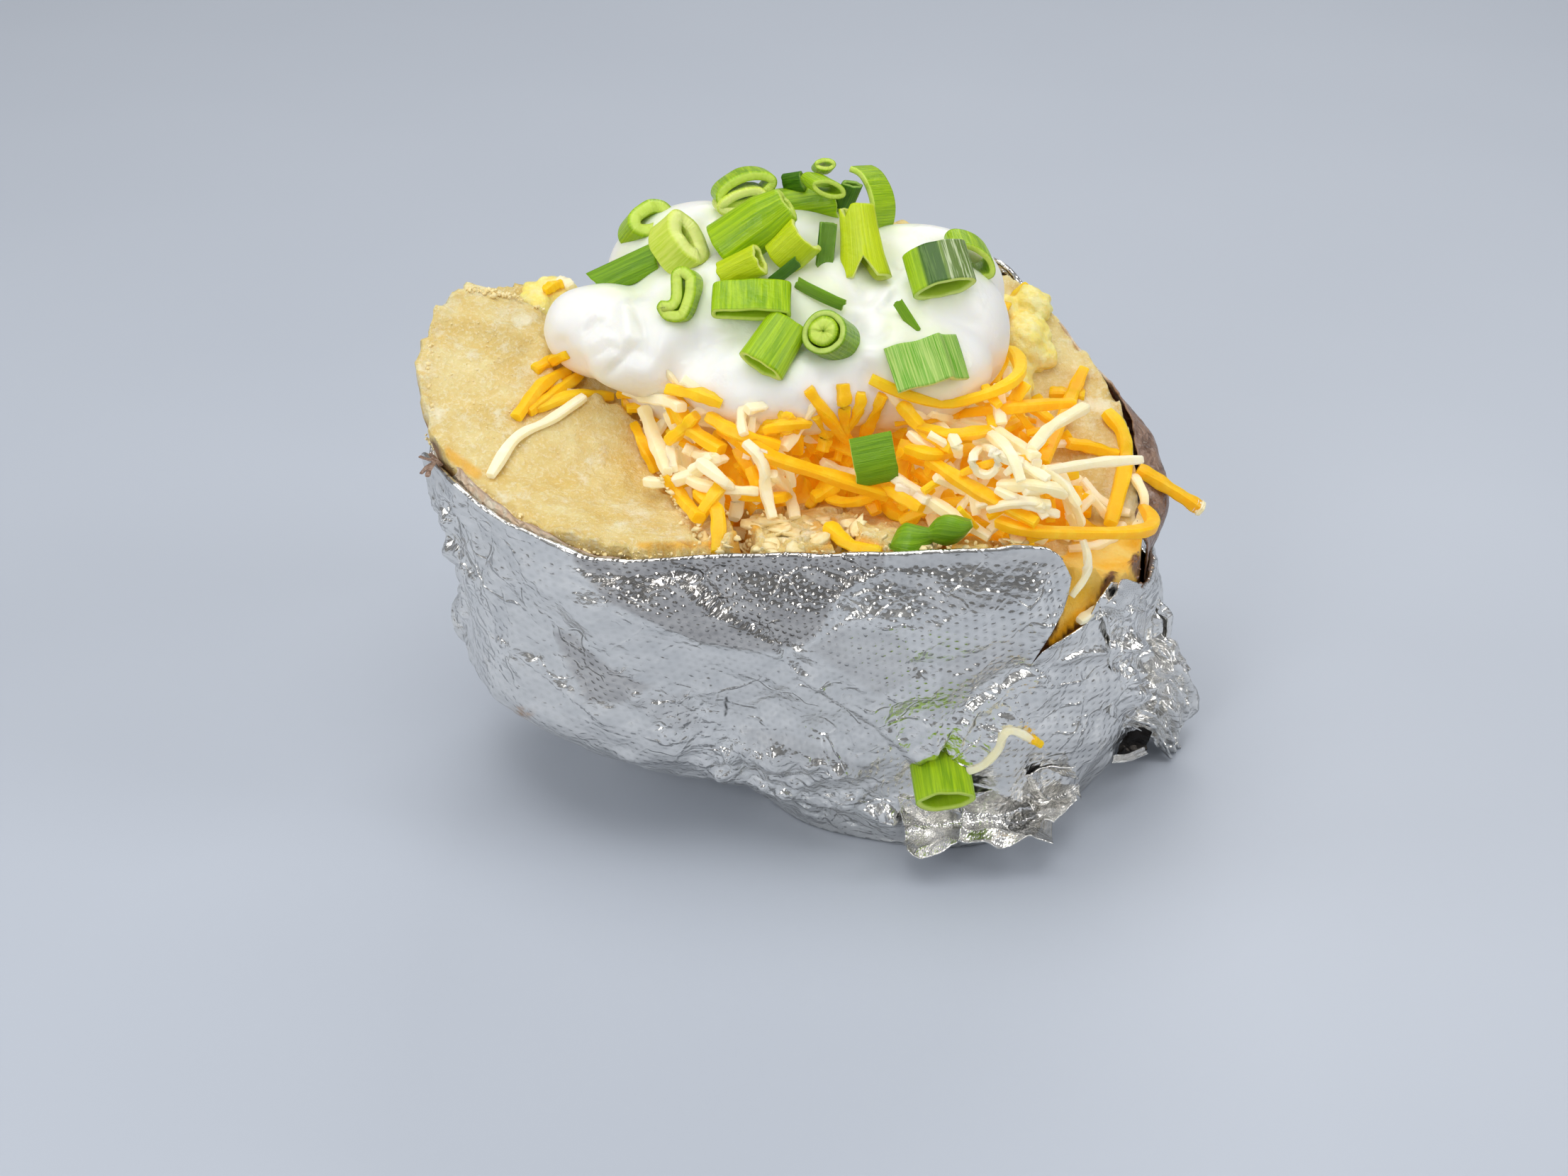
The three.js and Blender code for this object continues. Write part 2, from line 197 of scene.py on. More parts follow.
def shape_mesh(name, create, uv_layer=None, **sizes):
    """A new mesh of one of the basic shapes, with a UV layer if one is named."""
    form = bmesh.new()
    if uv_layer:
        form.loops.layers.uv.new(uv_layer)
    create(form, calc_uvs=bool(uv_layer), **sizes)
    mesh = bpy.data.meshes.new(name)
    form.to_mesh(mesh)
    return mesh


FLOOR_HALF = 1.5
table_top = Finish("table_top", Roughness=0.5)
table_top.varies(Base_Color=table_top.mix(table_top.noise(120, 2),
                                          colour(0.47, 0.51, 0.58), colour(0.51, 0.55, 0.62)))
floor_mesh = shape_mesh("table_top", bmesh.ops.create_grid, x_segments=1, y_segments=1, size=FLOOR_HALF)
floor = bpy.data.objects.new("table_top", floor_mesh)
floor.data.materials.append(table_top.material)
bpy.context.scene.collection.objects.link(floor)

# The room is dark at the height of the table and grows lighter towards the ceiling.
ROOM_TONES = {"From Min": 0.03, "From Max": 0.62, "To Min": 0.24, "To Max": 0.46}
ROOM_COLOUR = (0.63, 0.64, 0.65, 1)
world = bpy.data.worlds.new("room")
world.use_nodes = True
room = world.node_tree
direction = room.nodes.new("ShaderNodeTexCoord")
upward = room.nodes.new("ShaderNodeSeparateXYZ")
lightness = room.nodes.new("ShaderNodeMapRange")
for label, value in ROOM_TONES.items():
    lightness.inputs[label].default_value = value
room.links.new(direction.outputs["Generated"], upward.inputs["Vector"])
room.links.new(upward.outputs["Z"], lightness.inputs["Value"])
room.links.new(lightness.outputs["Result"], room.nodes["Background"].inputs["Strength"])
room.nodes["Background"].inputs["Color"].default_value = ROOM_COLOUR
bpy.context.scene.world = world
bpy.context.scene.view_settings.view_transform = "Standard"

# Each soft box: where it stands, what it points at, its two sides and its power.
SOFT_BOXES = {
    "soft_box_top": ((-0.10, -0.10, 0.90), (0, 0, 0.06), (0.85, 0.60), 4.5),
    "soft_box_left": ((-0.85, -0.05, 0.45), (0, 0, 0.04), (0.35, 0.50), 1.4),
    "soft_box_front": ((-0.45, -0.80, 0.55), (0, 0, 0.05), (0.30, 0.45), 2.6),
    "soft_box_right": ((0.75, -0.20, 0.45), (0, 0, 0.05), (0.25, 0.45), 1.9),
    "soft_box_back": ((0.20, 0.75, 0.60), (0, 0, 0.05), (0.60, 0.30), 1.7),
}
for box_name, (stand, target, sides, power) in SOFT_BOXES.items():
    lamp = bpy.data.lights.new(box_name, "AREA")
    lamp.shape = "RECTANGLE"
    lamp.size, lamp.size_y = sides
    lamp.energy = power
    soft_box = bpy.data.objects.new(box_name, lamp)
    soft_box.location = stand
    soft_box.rotation_euler = (Vector(target) - Vector(stand)).to_track_quat("-Z", "Y").to_euler()
    bpy.context.scene.collection.objects.link(soft_box)

camera_data = bpy.data.cameras.new("camera")
camera_data.sensor_width = SENSOR_WIDTH
camera_data.lens = SENSOR_WIDTH * FOCAL_PIXELS / PICTURE_WIDTH
camera = bpy.data.objects.new("camera", camera_data)
camera.location = in_metres(CAMERA_AT)
camera.rotation_euler = (math.pi / 2 - CAMERA_DIP, 0, 0)
bpy.context.scene.collection.objects.link(camera)
bpy.context.scene.camera = camera


# ------------------------------------------------------------------ the baked flesh
# The inside of a floury potato, baked soft and dry. It was cut open along the top and pushed
# from both ends, so that it stands up in two smooth petals and breaks into crumbs in front.

AXIS_X = -4                  # the upright axis that all outlines are measured from
POTATO_INSET = 2.2           # from the foil's outside to the skin
BELLY_HEIGHT = 30
FLESH_MIDDLE_HEIGHT = 52
FLESH_RISE = 0.62            # under 1, the flesh rises fast near the axis and eases to the rim
BASE_RADII = [54, 52, 44, 36, 32, 32, 34, 38, 36, 22, 14, 17, 23, 30, 41, 48]
BELLY_RADII = [60, 61, 55, 47, 43, 43, 48, 57, 60, 58, 48, 38, 36, 39, 49, 57]
RIM_RADII = [58, 56, 51, 45, 42, 43, 48, 58, 64, 60, 52, 42, 39, 43, 52, 58]
RIM_HEIGHTS = [52, 66, 78, 85, 84, 79, 76, 79.5, 79, 67, 64, 63, 63, 63.5, 61, 50]
# Where the torn rim stands up from its even line: turn, height and spread.
RIM_PEAKS = [(166, 3.2, 6), (172, 1.4, 1.6), (163, 1.2, 1.3), (10, 3.6, 7)]

# The gap in the foil bares the side: what is seen there, and the skin left along its edges.
BARE_SIDE = [(1470, 770), (1500, 860), (1455, 950), (1500, 915), (1600, 850), (1625, 800), (1630, 740),
             (1480, 740)]
SKIN_LEFT = [
    ([(1440, 955), (1480, 918), (1512, 893), (1534, 878), (1552, 848), (1562, 822), (1575, 800)], 1.1),
    ([(1600, 790), (1612, 815), (1606, 840)], 1.3), ([(1618, 770), (1622, 830)], 1.0),
    ([(1462, 925), (1484, 896), (1500, 862)], 0.35),
]

# Lines on the flesh by their places in the picture: the inner edge of the left petal, where
# it drops to the cheese, and the deep clefts of the broken front, each with its half width.
PETAL_EDGE = [(700, 300), (775, 440), (800, 540), (905, 600), (940, 690), (1000, 770), (1010, 840)]
CLEFTS = [
    ((1046, 742), (1040, 788), 1.1), ((1188, 752), (1228, 772), 1.0), ((1008, 700), (1046, 745), 0.6),
    ((1228, 772), (1290, 790), 0.5), ((1120, 792), (1180, 768), 0.35), ((1330, 735), (1345, 780), 0.6),
    ((905, 770), (1012, 768), 0.25), ((1400, 775), (1440, 800), 0.6),
]
# Where the flesh went glassy and deep yellow, with half widths.
GLASSY = [((632, 640), (672, 668), 0.5), ((1400, 520), (1440, 560), 0.6), ((905, 610), (930, 668), 0.5),
          ((1060, 742), (1090, 730), 0.5), ((1150, 742), (1175, 735), 0.4)]


def bent(a, b, c, d, part):
    """A smooth way from b to c that comes from a and goes on to d."""
    return b + 0.5 * part * (c - a + part * (2 * a - 5 * b + 4 * c - d + part * (3 * (b - c) + d - a)))


def around(values, turn):
    """The value at a turn, in degrees, of a closed row of even values on a smooth curve."""
    count = len(values)
    values = np.asarray(values, float)
    place = (turn % 360) / (360 / count)
    index = np.floor(place).astype(int)
    part = place - index
    return bent(*(values[(index + step) % count] for step in (-1, 0, 1, 2)), part)


def rim_height(turn):
    peaks = sum(height * np.exp(-((turn % 360 - at) / spread) ** 2) for at, height, spread in RIM_PEAKS)
    return around(RIM_HEIGHTS, turn) + peaks


def side_radius(turn, height):
    """Outside of the wrapped potato, from its rounded underside up to the rim."""
    base, belly, rim = (around(radii, turn) for radii in (BASE_RADII, BELLY_RADII, RIM_RADII))
    part = np.clip((height - BELLY_HEIGHT) / (around(RIM_HEIGHTS, turn) - BELLY_HEIGHT), 0, 1)
    below = base + (belly - base) * np.sin(np.pi / 2 * np.clip(height / BELLY_HEIGHT, 0, 1))
    return np.where(height < BELLY_HEIGHT, below, belly + (rim - belly) * part * part * (3 - 2 * part))


def drift(points, size, seed=0):
    """Smooth noise from -1 to 1 over points, with lumps about size across."""
    cell = np.asarray(points) / size + 7.3 * seed + 100
    corner = np.floor(cell).astype(np.int64)
    part = cell - corner
    ease = part * part * (3 - 2 * part)
    total = np.zeros(len(cell))
    for step in np.ndindex(2, 2, 2):
        at = corner + step
        key = (at[:, 0] * 73856093) ^ (at[:, 1] * 19349663) ^ (at[:, 2] * 83492791) ^ (seed * 2654435761)
        key = (key ^ (key >> 13)) * 1274126177
        value = ((key ^ (key >> 16)) & 0xFFFFF) / 0x7FFFF - 1
        total += value * np.prod(np.where(step, ease, 1 - ease), axis=1)
    return total


def layered(points, size, octaves=3, seed=0):
    return sum(drift(points, size / 2 ** n, seed + n) / 2 ** n for n in range(octaves))


def rise(value, low, high):
    part = np.clip((value - low) / (high - low), 0, 1)
    return part * part * (3 - 2 * part)


def line_distance(points, start, end):
    """How far points are from a straight stretch, which side of it, and how far along it."""
    start, end = np.asarray(start, float), np.asarray(end, float)
    run = end - start
    along = np.clip(((points - start) @ run) / (run @ run), 0, 1)
    off = points - start - along[:, None] * run
    side = run[0] * (points[:, 1] - start[1]) - run[1] * (points[:, 0] - start[0])
    return np.hypot(off[:, 0], off[:, 1]), np.sign(side), along


def chain_distance(points, chain):
    """The same for a line of many stretches; along counts its stretches."""
    best = np.full(len(points), 1e9)
    side, along = np.zeros(len(points)), np.zeros(len(points))
    for index, (start, end) in enumerate(zip(chain, chain[1:])):
        far, stretch_side, stretch_along = line_distance(points, start, end)
        near = far < best
        best, side = np.where(near, far, best), np.where(near, stretch_side, side)
        along = np.where(near, index + stretch_along, along)
    return best, side, along


PIXELS_PER_MM = 8.4          # of the camera's picture, at the potato


def in_outline(spots, outline):
    inside = np.zeros(len(spots), bool)
    for (x0, y0), (x1, y1) in zip(outline, outline[1:] + outline[:1]):
        if y0 != y1:
            crosses = (spots[:, 1] > min(y0, y1)) & (spots[:, 1] <= max(y0, y1))
            inside ^= crosses & (spots[:, 0] < x0 + (spots[:, 1] - y0) * (x1 - x0) / (y1 - y0))
    return inside


def outline_depth(spots, outline):
    """How deep, in millimetres, picture spots lie inside an outline; outside is below 0."""
    far, _, _ = chain_distance(spots, outline + outline[:1])
    return np.where(in_outline(spots, outline), far, -far) / PIXELS_PER_MM


def broken_front(picture):
    """1 where the flesh broke in front, falling to 0 around it."""
    across, down = picture[:, 0], picture[:, 1]
    return rise(across, 985, 1040) * rise(-across, -1470, -1400) * rise(down, 660, 720)


def flesh_top(flat):
    """Height of the open flesh over points given by x and y."""
    x, y = flat[:, 0] - AXIS_X, flat[:, 1]
    turn = np.degrees(np.arctan2(y, x)) % 360
    share = np.clip(np.hypot(x, y) / (around(RIM_RADII, turn) - POTATO_INSET), 0, 1)
    height = FLESH_MIDDLE_HEIGHT + (rim_height(turn) - FLESH_MIDDLE_HEIGHT) * share ** FLESH_RISE
    spots = np.stack([flat[:, 0], flat[:, 1], height], axis=1)
    picture = in_picture(spots)
    front = rise(-y, -6, 4)
    # left petal: a full, slightly domed face with a torn inner edge
    wander = picture + np.stack([layered(spots, 6, 3, 1), layered(spots, 6, 3, 2)], axis=1) * 14
    far, side, _ = chain_distance(wander, PETAL_EDGE)
    inside = side * far / PIXELS_PER_MM
    petal = rise(inside, -0.6, 0.9)
    height = height + 1.6 * petal * np.sin(np.pi * np.clip(share, 0, 1)) - 3.0 * (1 - petal) * rise(
        -picture[:, 0], -1020, -880) * front * rise(1 - share, 0.02, 0.2)
    # broken front: plates at uneven levels with crumbly edges
    broken = broken_front(picture) * front
    plates = np.floor(2.4 * (layered(spots * [1, 1, 0.3], 13, 3, 5) + 0.9)) / 2.4
    crumbs = layered(spots, 2.4, 2, 9)
    height = height + broken * (1.6 * plates - 0.4 + 0.55 * crumbs)
    for start, end, half in CLEFTS:
        far, _, _ = line_distance(wander, start, end)
        height = height - 4.5 * front * rise(-far / PIXELS_PER_MM, -half - 0.9, -half + 0.1)
    # the rest: shallow, uneven, drier towards the rim
    crisp = np.abs(layered(spots, 5, 3, 14))
    height = height + 0.45 * layered(spots, 11, 3, 3) + 0.30 * drift(spots, 1.9, 6) - 0.35 * crisp
    return height


def mesh_points(mesh):
    flat = np.empty(len(mesh.vertices) * 3)
    mesh.vertices.foreach_get("co", flat)
    return flat.reshape(-1, 3)


def set_points(mesh, points):
    mesh.vertices.foreach_set("co", np.ascontiguousarray(points, dtype=np.float32).ravel())
    mesh.update()


def note(mesh, name, values):
    """Keeps one number for each point of a mesh, for its finish to read."""
    mesh.attributes.new(name, "FLOAT", "POINT").data.foreach_set("value", np.asarray(values, np.float32))


def make_piece(name, mesh, finish):
    """An object of the mesh with its finish. It rides with the only body there is."""
    piece = bpy.data.objects.new(name, mesh)
    mesh.materials.clear()
    mesh.materials.append(finish.material)
    mesh.polygons.foreach_set("use_smooth", [True] * len(mesh.polygons))
    bpy.context.scene.collection.objects.link(piece)
    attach(piece, "root")
    return piece


FLESH_SECTORS, FLESH_RINGS = 540, 180
LEFT_BULGE = 1.7             # how far the left petal leans out over the skin
UNDERSIDE_SHARE, CUT_SHARE = 0.02, 0.26     # where the side and the cut start, from pole to pole

flesh_mesh = shape_mesh("potato_flesh", bmesh.ops.create_uvsphere, u_segments=FLESH_SECTORS,
                        v_segments=FLESH_RINGS, radius=1)
ball = mesh_points(flesh_mesh)
turn = np.degrees(np.arctan2(ball[:, 1], ball[:, 0])) % 360
level = 1 - np.arccos(np.clip(ball[:, 2], -1, 1)) / np.pi
under = np.clip(level / UNDERSIDE_SHARE, 0, 1)
side = 1 - (1 - np.clip((level - UNDERSIDE_SHARE) / (CUT_SHARE - UNDERSIDE_SHARE), 0, 1)) ** 1.3
cut = np.clip((level - CUT_SHARE) / (1 - CUT_SHARE), 0, 1)
upright = POTATO_INSET + side * (rim_height(turn) - POTATO_INSET)
bulge = LEFT_BULGE * rise(turn, 145, 162) * rise(-turn, -206, -192) * rise(side, 0.82, 1) * (1 - cut)
radius = (side_radius(turn, upright) - POTATO_INSET) * under * (1 - cut)
angle = np.radians(turn)
spots = np.stack([AXIS_X + radius * np.cos(angle), radius * np.sin(angle), upright], axis=1)
open_top = flesh_top(spots[:, :2])
spots[:, :2] += np.stack([np.cos(angle), np.sin(angle)], axis=1) * bulge[:, None]
on_top = rise(side, 0.93, 1.0)
spots[:, 2] = np.where(side >= 1, open_top, upright + on_top * (open_top - rim_height(turn)))
rim_share = np.exp(-(cut / 0.035) ** 2) * rise(side, 0.9, 0.99)
spots[:, 2] += (1.1 * layered(spots, 3.4, 3, 12) + 0.8 * drift(spots, 1.6, 17)) * rim_share
at_left = rise(turn, 140, 150) * rise(-turn, -200, -190)
ragged = (0.7 * layered(spots, 3.0, 3, 23) + 0.3 * drift(spots, 1.4, 24)) * rim_share * at_left
spots[:, :2] += ((spots[:, :2] - [AXIS_X, 0]) / np.maximum(radius, 1)[:, None]) * ragged[:, None]
picture = in_picture(spots)
from_side = rise(-spots[:, 1], -14, -6)
bare = rise(outline_depth(picture, BARE_SIDE), -0.4, 0.4) * from_side * (cut < 0.2)
left_on = np.zeros(len(spots))
for chain, half in SKIN_LEFT:
    far = chain_distance(picture, chain)[0] / PIXELS_PER_MM + 0.5 * layered(spots, 3, 3, 33)
    left_on = np.maximum(left_on, rise(-far, -half, -half * 0.6) * from_side * (cut <= 0.02))
set_points(flesh_mesh, in_metres(spots))
skin = (1 - rise(side, 0.95, 0.985)) * (1 - bare)
note(flesh_mesh, "skin", np.maximum(skin, left_on))
note(flesh_mesh, "bare", bare)
# Where the bare side's painted glow is stronger and warmer, low down.
note(flesh_mesh, "low", bare * rise(picture[:, 1], 825, 890))
note(flesh_mesh, "crumbly", broken_front(picture))
# Deep orange in the clefts is painted shade; in the glassy streaks it is the flesh's own colour.
cleft_shade_and_glassy = np.zeros(len(spots))
for start, end, half in CLEFTS + GLASSY:
    far = line_distance(picture, start, end)[0] / PIXELS_PER_MM
    cleft_shade_and_glassy = np.maximum(cleft_shade_and_glassy, rise(-far, -half - 0.7, -half))
note(flesh_mesh, "cleft_shade_and_glassy_tint", cleft_shade_and_glassy * (side >= 1))

# The flesh's emission is a painted glow on the bare side.
potato_flesh = Finish("potato_flesh", Roughness=0.52, Subsurface_Weight=0.2,
                      Subsurface_Radius=(0.0016, 0.0010, 0.0004), Specular_IOR_Level=0.35,
                      Emission_Strength=1.0)
f = potato_flesh
starch = f.noise(9, 6, 0.68).step(0.42, 0.64)
patches = f.noise(7, 8, 0.72).step(0.53, 0.64)
streak = f.noise(6, 5, 0.65).step(0.52, 0.70)
speck = f.noise(0.7, 3, 0.7).step(0.50, 0.66)
warm = f.mix(starch, colour(0.77, 0.57, 0.195), colour(0.85, 0.72, 0.355))
warm = f.mix(streak * 0.28, warm, colour(0.79, 0.52, 0.10))
warm = f.mix(f.attribute("crumbly") * 0.15, warm, colour(0.87, 0.61, 0.18))
warm = f.mix(patches * 0.80, warm, colour(0.93, 0.86, 0.63))
warm = f.mix(speck * 0.50, warm, colour(0.95, 0.87, 0.63))
# Painted shade in the clefts, and the glassy streaks' own deep orange.
warm = f.mix(f.attribute("cleft_shade_and_glassy_tint") * 0.75, warm, colour(0.86, 0.44, 0.02))
moist = f.mix(f.noise(7, 4, 0.6).step(0.40, 0.62), colour(0.82, 0.48, 0.03), colour(0.86, 0.66, 0.19))
warm = f.mix(f.attribute("bare"), warm, moist)
brown = f.mix(f.noise(2.5, 5, 0.7).step(0.42, 0.62), colour(0.34, 0.16, 0.05), colour(0.10, 0.040, 0.014))
# Painted glow: the thin bare side gives off warm light of its own, standing in for the foil's light shining
# through it, stronger and warmer low down.
shine = f.mix(f.attribute("low"), colour(0.11, 0.054, 0.004), colour(0.30, 0.125, 0.0))
f.varies(Base_Color=f.mix(f.attribute("skin"), warm, brown), Roughness=0.36 + 0.28 * starch,
         Emission_Color=f.mix(f.attribute("bare") * (1 - f.attribute("skin")), colour(0, 0, 0), shine))
f.bump((f.noise(2.2, 5, 0.7), 0.36), (patches, 0.06), (f.noise(0.7, 4, 0.7), 0.34))
flesh = make_piece("flesh", flesh_mesh, potato_flesh)
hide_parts("potato")


# ------------------------------------------------------------------ the foil wrap
# Kitchen foil with small embossed dimples, baked round the potato and opened on top. It is one
# thin sheet that laps over itself, with its edge turned in; its right front edge leaves a gap.

FOIL_THICKNESS = 0.25
FOIL_DIMPLE_PITCH = 1.55
FOIL_DIMPLE_ROWS = 0.866     # from one row of dimples to the next, as a share of their pitch
FOIL_DIMPLE_TURN = math.radians(20)
# Each half of the wrap: first and last turn, columns, rows and how far it lies out.
FOIL_HALVES = {"foil_front": (174, 374, 360, 124, 0.35), "foil_back": (4, 184, 230, 96, 0)}
# From the middle of the underside (0) over its edge (1) up to the hem (2) and round it (3).
ROW_SHARES, ROW_LEVELS = [0, 0.04, 0.07, 0.92, 1], [0, 0.9, 1, 2, 3]
HEM_ROUND, HEM_CURL = 0.55, 1.2 * math.pi
HEM_HEIGHTS = [42, 50, 77.2, 82, 81, 75, 70, 64, 60, 63.5, 62.5, 62.5, 62.5, 62.5, 62, 47]
# The hem in front and the gap's edges by their places in the picture.
HEM_LINE = [(602, 645), (615, 657), (640, 682), (665, 706), (700, 730), (735, 748), (772, 765), (803, 779),
            (833, 790), (1040, 786), (1180, 784), (1315, 781), (1430, 773), (1475, 776), (1500, 790)]
GAP_OUTLINE = [(1480, 770), (1497, 786), (1512, 815), (1508, 838), (1500, 862), (1484, 893), (1452, 942),
               (1470, 921), (1500, 902), (1534, 880), (1548, 850), (1568, 822), (1600, 818), (1660, 700),
               (1600, 600), (1480, 600)]
FOLDS = [
    # points in the picture, lift and half width of its ridge, how far out its lower or left side is
    ([(945, 788), (1010, 849), (1077, 884), (1106, 910), (1135, 948)], 0.5, 1.0, 1.7),
    ([(1106, 906), (1128, 942), (1189, 990), (1227, 1015), (1272, 1057), (1300, 1090)], 0.3, 0.5, -1.3),
    ([(985, 835), (1060, 878), (1141, 910), (1179, 926)], 0.4, 0.5, 0.7),
    ([(953, 964), (991, 1034), (1055, 1098)], 0.7, 0.6, 0.8),
    ([(864, 891), (877, 939), (928, 964)], 0.3, 0.5, 0.5),
    ([(668, 895), (712, 918), (805, 982), (860, 1030)], 0.8, 0.6, -1.0),
    ([(1452, 940), (1448, 946), (1368, 999), (1345, 1045), (1330, 1110)], -0.5, 0.5, -2.0),
    ([(1487, 937), (1530, 922), (1570, 918)], 0.8, 0.5, 0.6),
    ([(790, 800), (905, 850), (1000, 895), (1100, 905)], 0.3, 0.6, -0.6),
    ([(975, 800), (1010, 840), (1030, 862)], -0.7, 0.5, 0.4),
    ([(1120, 795), (1190, 825), (1246, 808), (1330, 815)], 0.3, 0.6, -0.5),
    ([(1160, 905), (1185, 870), (1175, 835), (1200, 815)], 0.4, 0.5, 0.5),
    ([(1240, 890), (1262, 930), (1255, 985)], 0.5, 0.4, 0.2),
    ([(1180, 870), (1200, 900), (1215, 940)], 0.5, 0.35, 0.2),
    ([(700, 800), (745, 870), (770, 905)], 0.3, 0.5, 0.3),
    ([(776, 892), (805, 951), (832, 989), (880, 1010)], 0.3, 0.5, 0.6),
    ([(811, 898), (864, 933), (925, 966)], 0.3, 0.4, -0.5),
    ([(650, 760), (668, 830), (672, 900)], 0.5, 0.6, 0.5),
    ([(1355, 940), (1365, 990), (1350, 1040)], 0.5, 0.4, 0.3),
    ([(1290, 930), (1340, 945), (1420, 900)], 0.3, 0.5, 0.3),
    ([(1398, 1075), (1400, 1118), (1480, 1150)], 0.4, 0.4, -0.9),
    ([(1590, 850), (1600, 930), (1590, 1000)], 0.8, 0.7, 0.8),
]
# Where the sheet leans up and is dull, painted a darker grey as a painted reflection of the dark room;
# where its dimples stand out;
# and where it is crinkled, painted lighter as a painted highlight; each an outline in the picture and a
# strength.
DULL_AND_PAINTED_DARK_ZONES = [
    ([(812, 792), (864, 843), (937, 868), (998, 897), (1042, 905), (1103, 903), (1138, 894), (1160, 868),
      (1179, 833), (1205, 818), (1246, 806), (1250, 780), (812, 780)], 1.0),
    ([(776, 892), (805, 951), (832, 989), (873, 995), (923, 966), (864, 933), (811, 898)], 0.8),
    ([(893, 986), (967, 977), (985, 1036), (937, 1030)], 0.6),
    ([(1246, 806), (1205, 818), (1230, 850), (1400, 850), (1500, 800), (1480, 776), (1250, 780)], 0.4),
    ([(1140, 900), (1185, 870), (1260, 880), (1290, 940), (1230, 965)], 0.45),
    ([(1040, 1030), (1120, 1040), (1250, 1090), (1240, 1120), (1060, 1090)], 0.35),
    ([(1320, 920), (1420, 890), (1450, 930), (1370, 990), (1300, 1000)], 0.3),
]
EMBOSSED_ZONES = DULL_AND_PAINTED_DARK_ZONES[:3] + [
    ([(1170, 800), (1500, 790), (1500, 860), (1440, 950), (1340, 1060), (1230, 960), (1150, 900)], 0.75),
    ([(1451, 950), (1540, 885), (1600, 900), (1600, 1010), (1500, 1110), (1410, 1120), (1390, 1010)], 0.6),
    ([(660, 740), (770, 790), (770, 900), (690, 900)], 0.45),
    ([(893, 960), (1000, 990), (1060, 1100), (930, 1060)], 0.6),
]
CRINKLED_AND_PAINTED_GLINT_ZONES = [
    ([(893, 975), (967, 977), (1060, 1050), (1250, 1100), (1262, 1130), (1262, 1200), (1060, 1140),
      (940, 1060)], 0.9),
    ([(600, 690), (650, 700), (668, 800), (690, 900), (720, 930), (690, 970), (620, 860)], 0.9),
    ([(1560, 850), (1640, 830), (1700, 960), (1690, 1080), (1600, 1060), (1580, 960)], 1.4),
    ([(1440, 930), (1480, 945), (1390, 1050), (1350, 1120), (1280, 1100), (1350, 1000)], 0.8),
    ([(1180, 860), (1270, 860), (1300, 960), (1200, 950)], 0.45),
    ([(930, 785), (1010, 785), (1120, 920), (1080, 930), (990, 850)], 0.12),
    ([(1240, 1000), (1340, 1010), (1330, 1090), (1250, 1080)], 0.35),
]
STAIN_AT, STAIN_REACH = (728, 1008), 26
# A short line painted near-black, and the hole under the right flap painted near-black as painted shade.
DARK_LINE = [(1025, 985), (1022, 1000), (1020, 1015)]
HOLE_SHADE = [(1596, 1030), (1614, 1022), (1626, 1038), (1614, 1062), (1576, 1074), (1560, 1085), (1580, 1055)]


def on_side(turn, height, outward=0):
    reach = side_radius(turn, height) + outward
    angle = np.radians(turn)
    return np.stack([AXIS_X + reach * np.cos(angle), reach * np.sin(angle), height + 0 * turn], axis=-1)


def side_place(across, down):
    """Turn and height at which a line of sight meets the side of the wrap, or comes nearest to it."""
    steps = np.arange(250, 520, 0.25)[:, None]
    points = CAMERA_AT + steps * sight(across, down)
    turns = np.degrees(np.arctan2(points[:, 1], points[:, 0] - AXIS_X)) % 360
    reach = np.hypot(points[:, 0] - AXIS_X, points[:, 1])
    off = reach - side_radius(turns, np.clip(points[:, 2], 0, 90))
    first = np.argmax(off < 0) if (off < 0).any() else np.argmin(off)
    return turns[first], max(points[first, 2], 0.5)


hem_turns, hem_levels = np.array(sorted(side_place(*spot) for spot in HEM_LINE)).T


def hem_height(turn):
    """Height of the foil's edge at a turn from 0 to 360."""
    height = around(HEM_HEIGHTS, turn)
    told = rise(turn, hem_turns[0] - 8, hem_turns[0]) * (1 - rise(turn, hem_turns[-1], hem_turns[-1] + 3))
    height = height + told * (np.interp(turn, hem_turns, hem_levels) - height)
    ripple = layered(on_side(turn, 60 + 0 * turn), 7, 3, 21)
    return height + (0.7 - 0.55 * told) * ripple


def zone_share(picture, zones, soft):
    """The strongest zone at each spot, with soft edges."""
    share = np.zeros(len(picture))
    for outline, strength in zones:
        share = np.maximum(share, strength * rise(outline_depth(picture, outline), -soft, soft))
    return share


def creases(points, pitch, seed):
    """Sharp straight folds that cross each other, about as high as a fifth of their pitch."""
    draw = np.random.default_rng(seed)
    total = np.zeros(len(points))
    for number in range(6):
        direction = draw.normal(0, 1, 3)
        direction /= np.linalg.norm(direction)
        wave = points @ direction / pitch + 0.6 * drift(points, pitch * 2.4, seed + number)
        there = rise(drift(points, pitch * 2.0, seed + 20 + number), -0.15, 0.3)
        total += there * np.abs(2 * ((wave + draw.uniform()) % 1) - 1)
    return (total - total.mean()) * pitch * 0.16


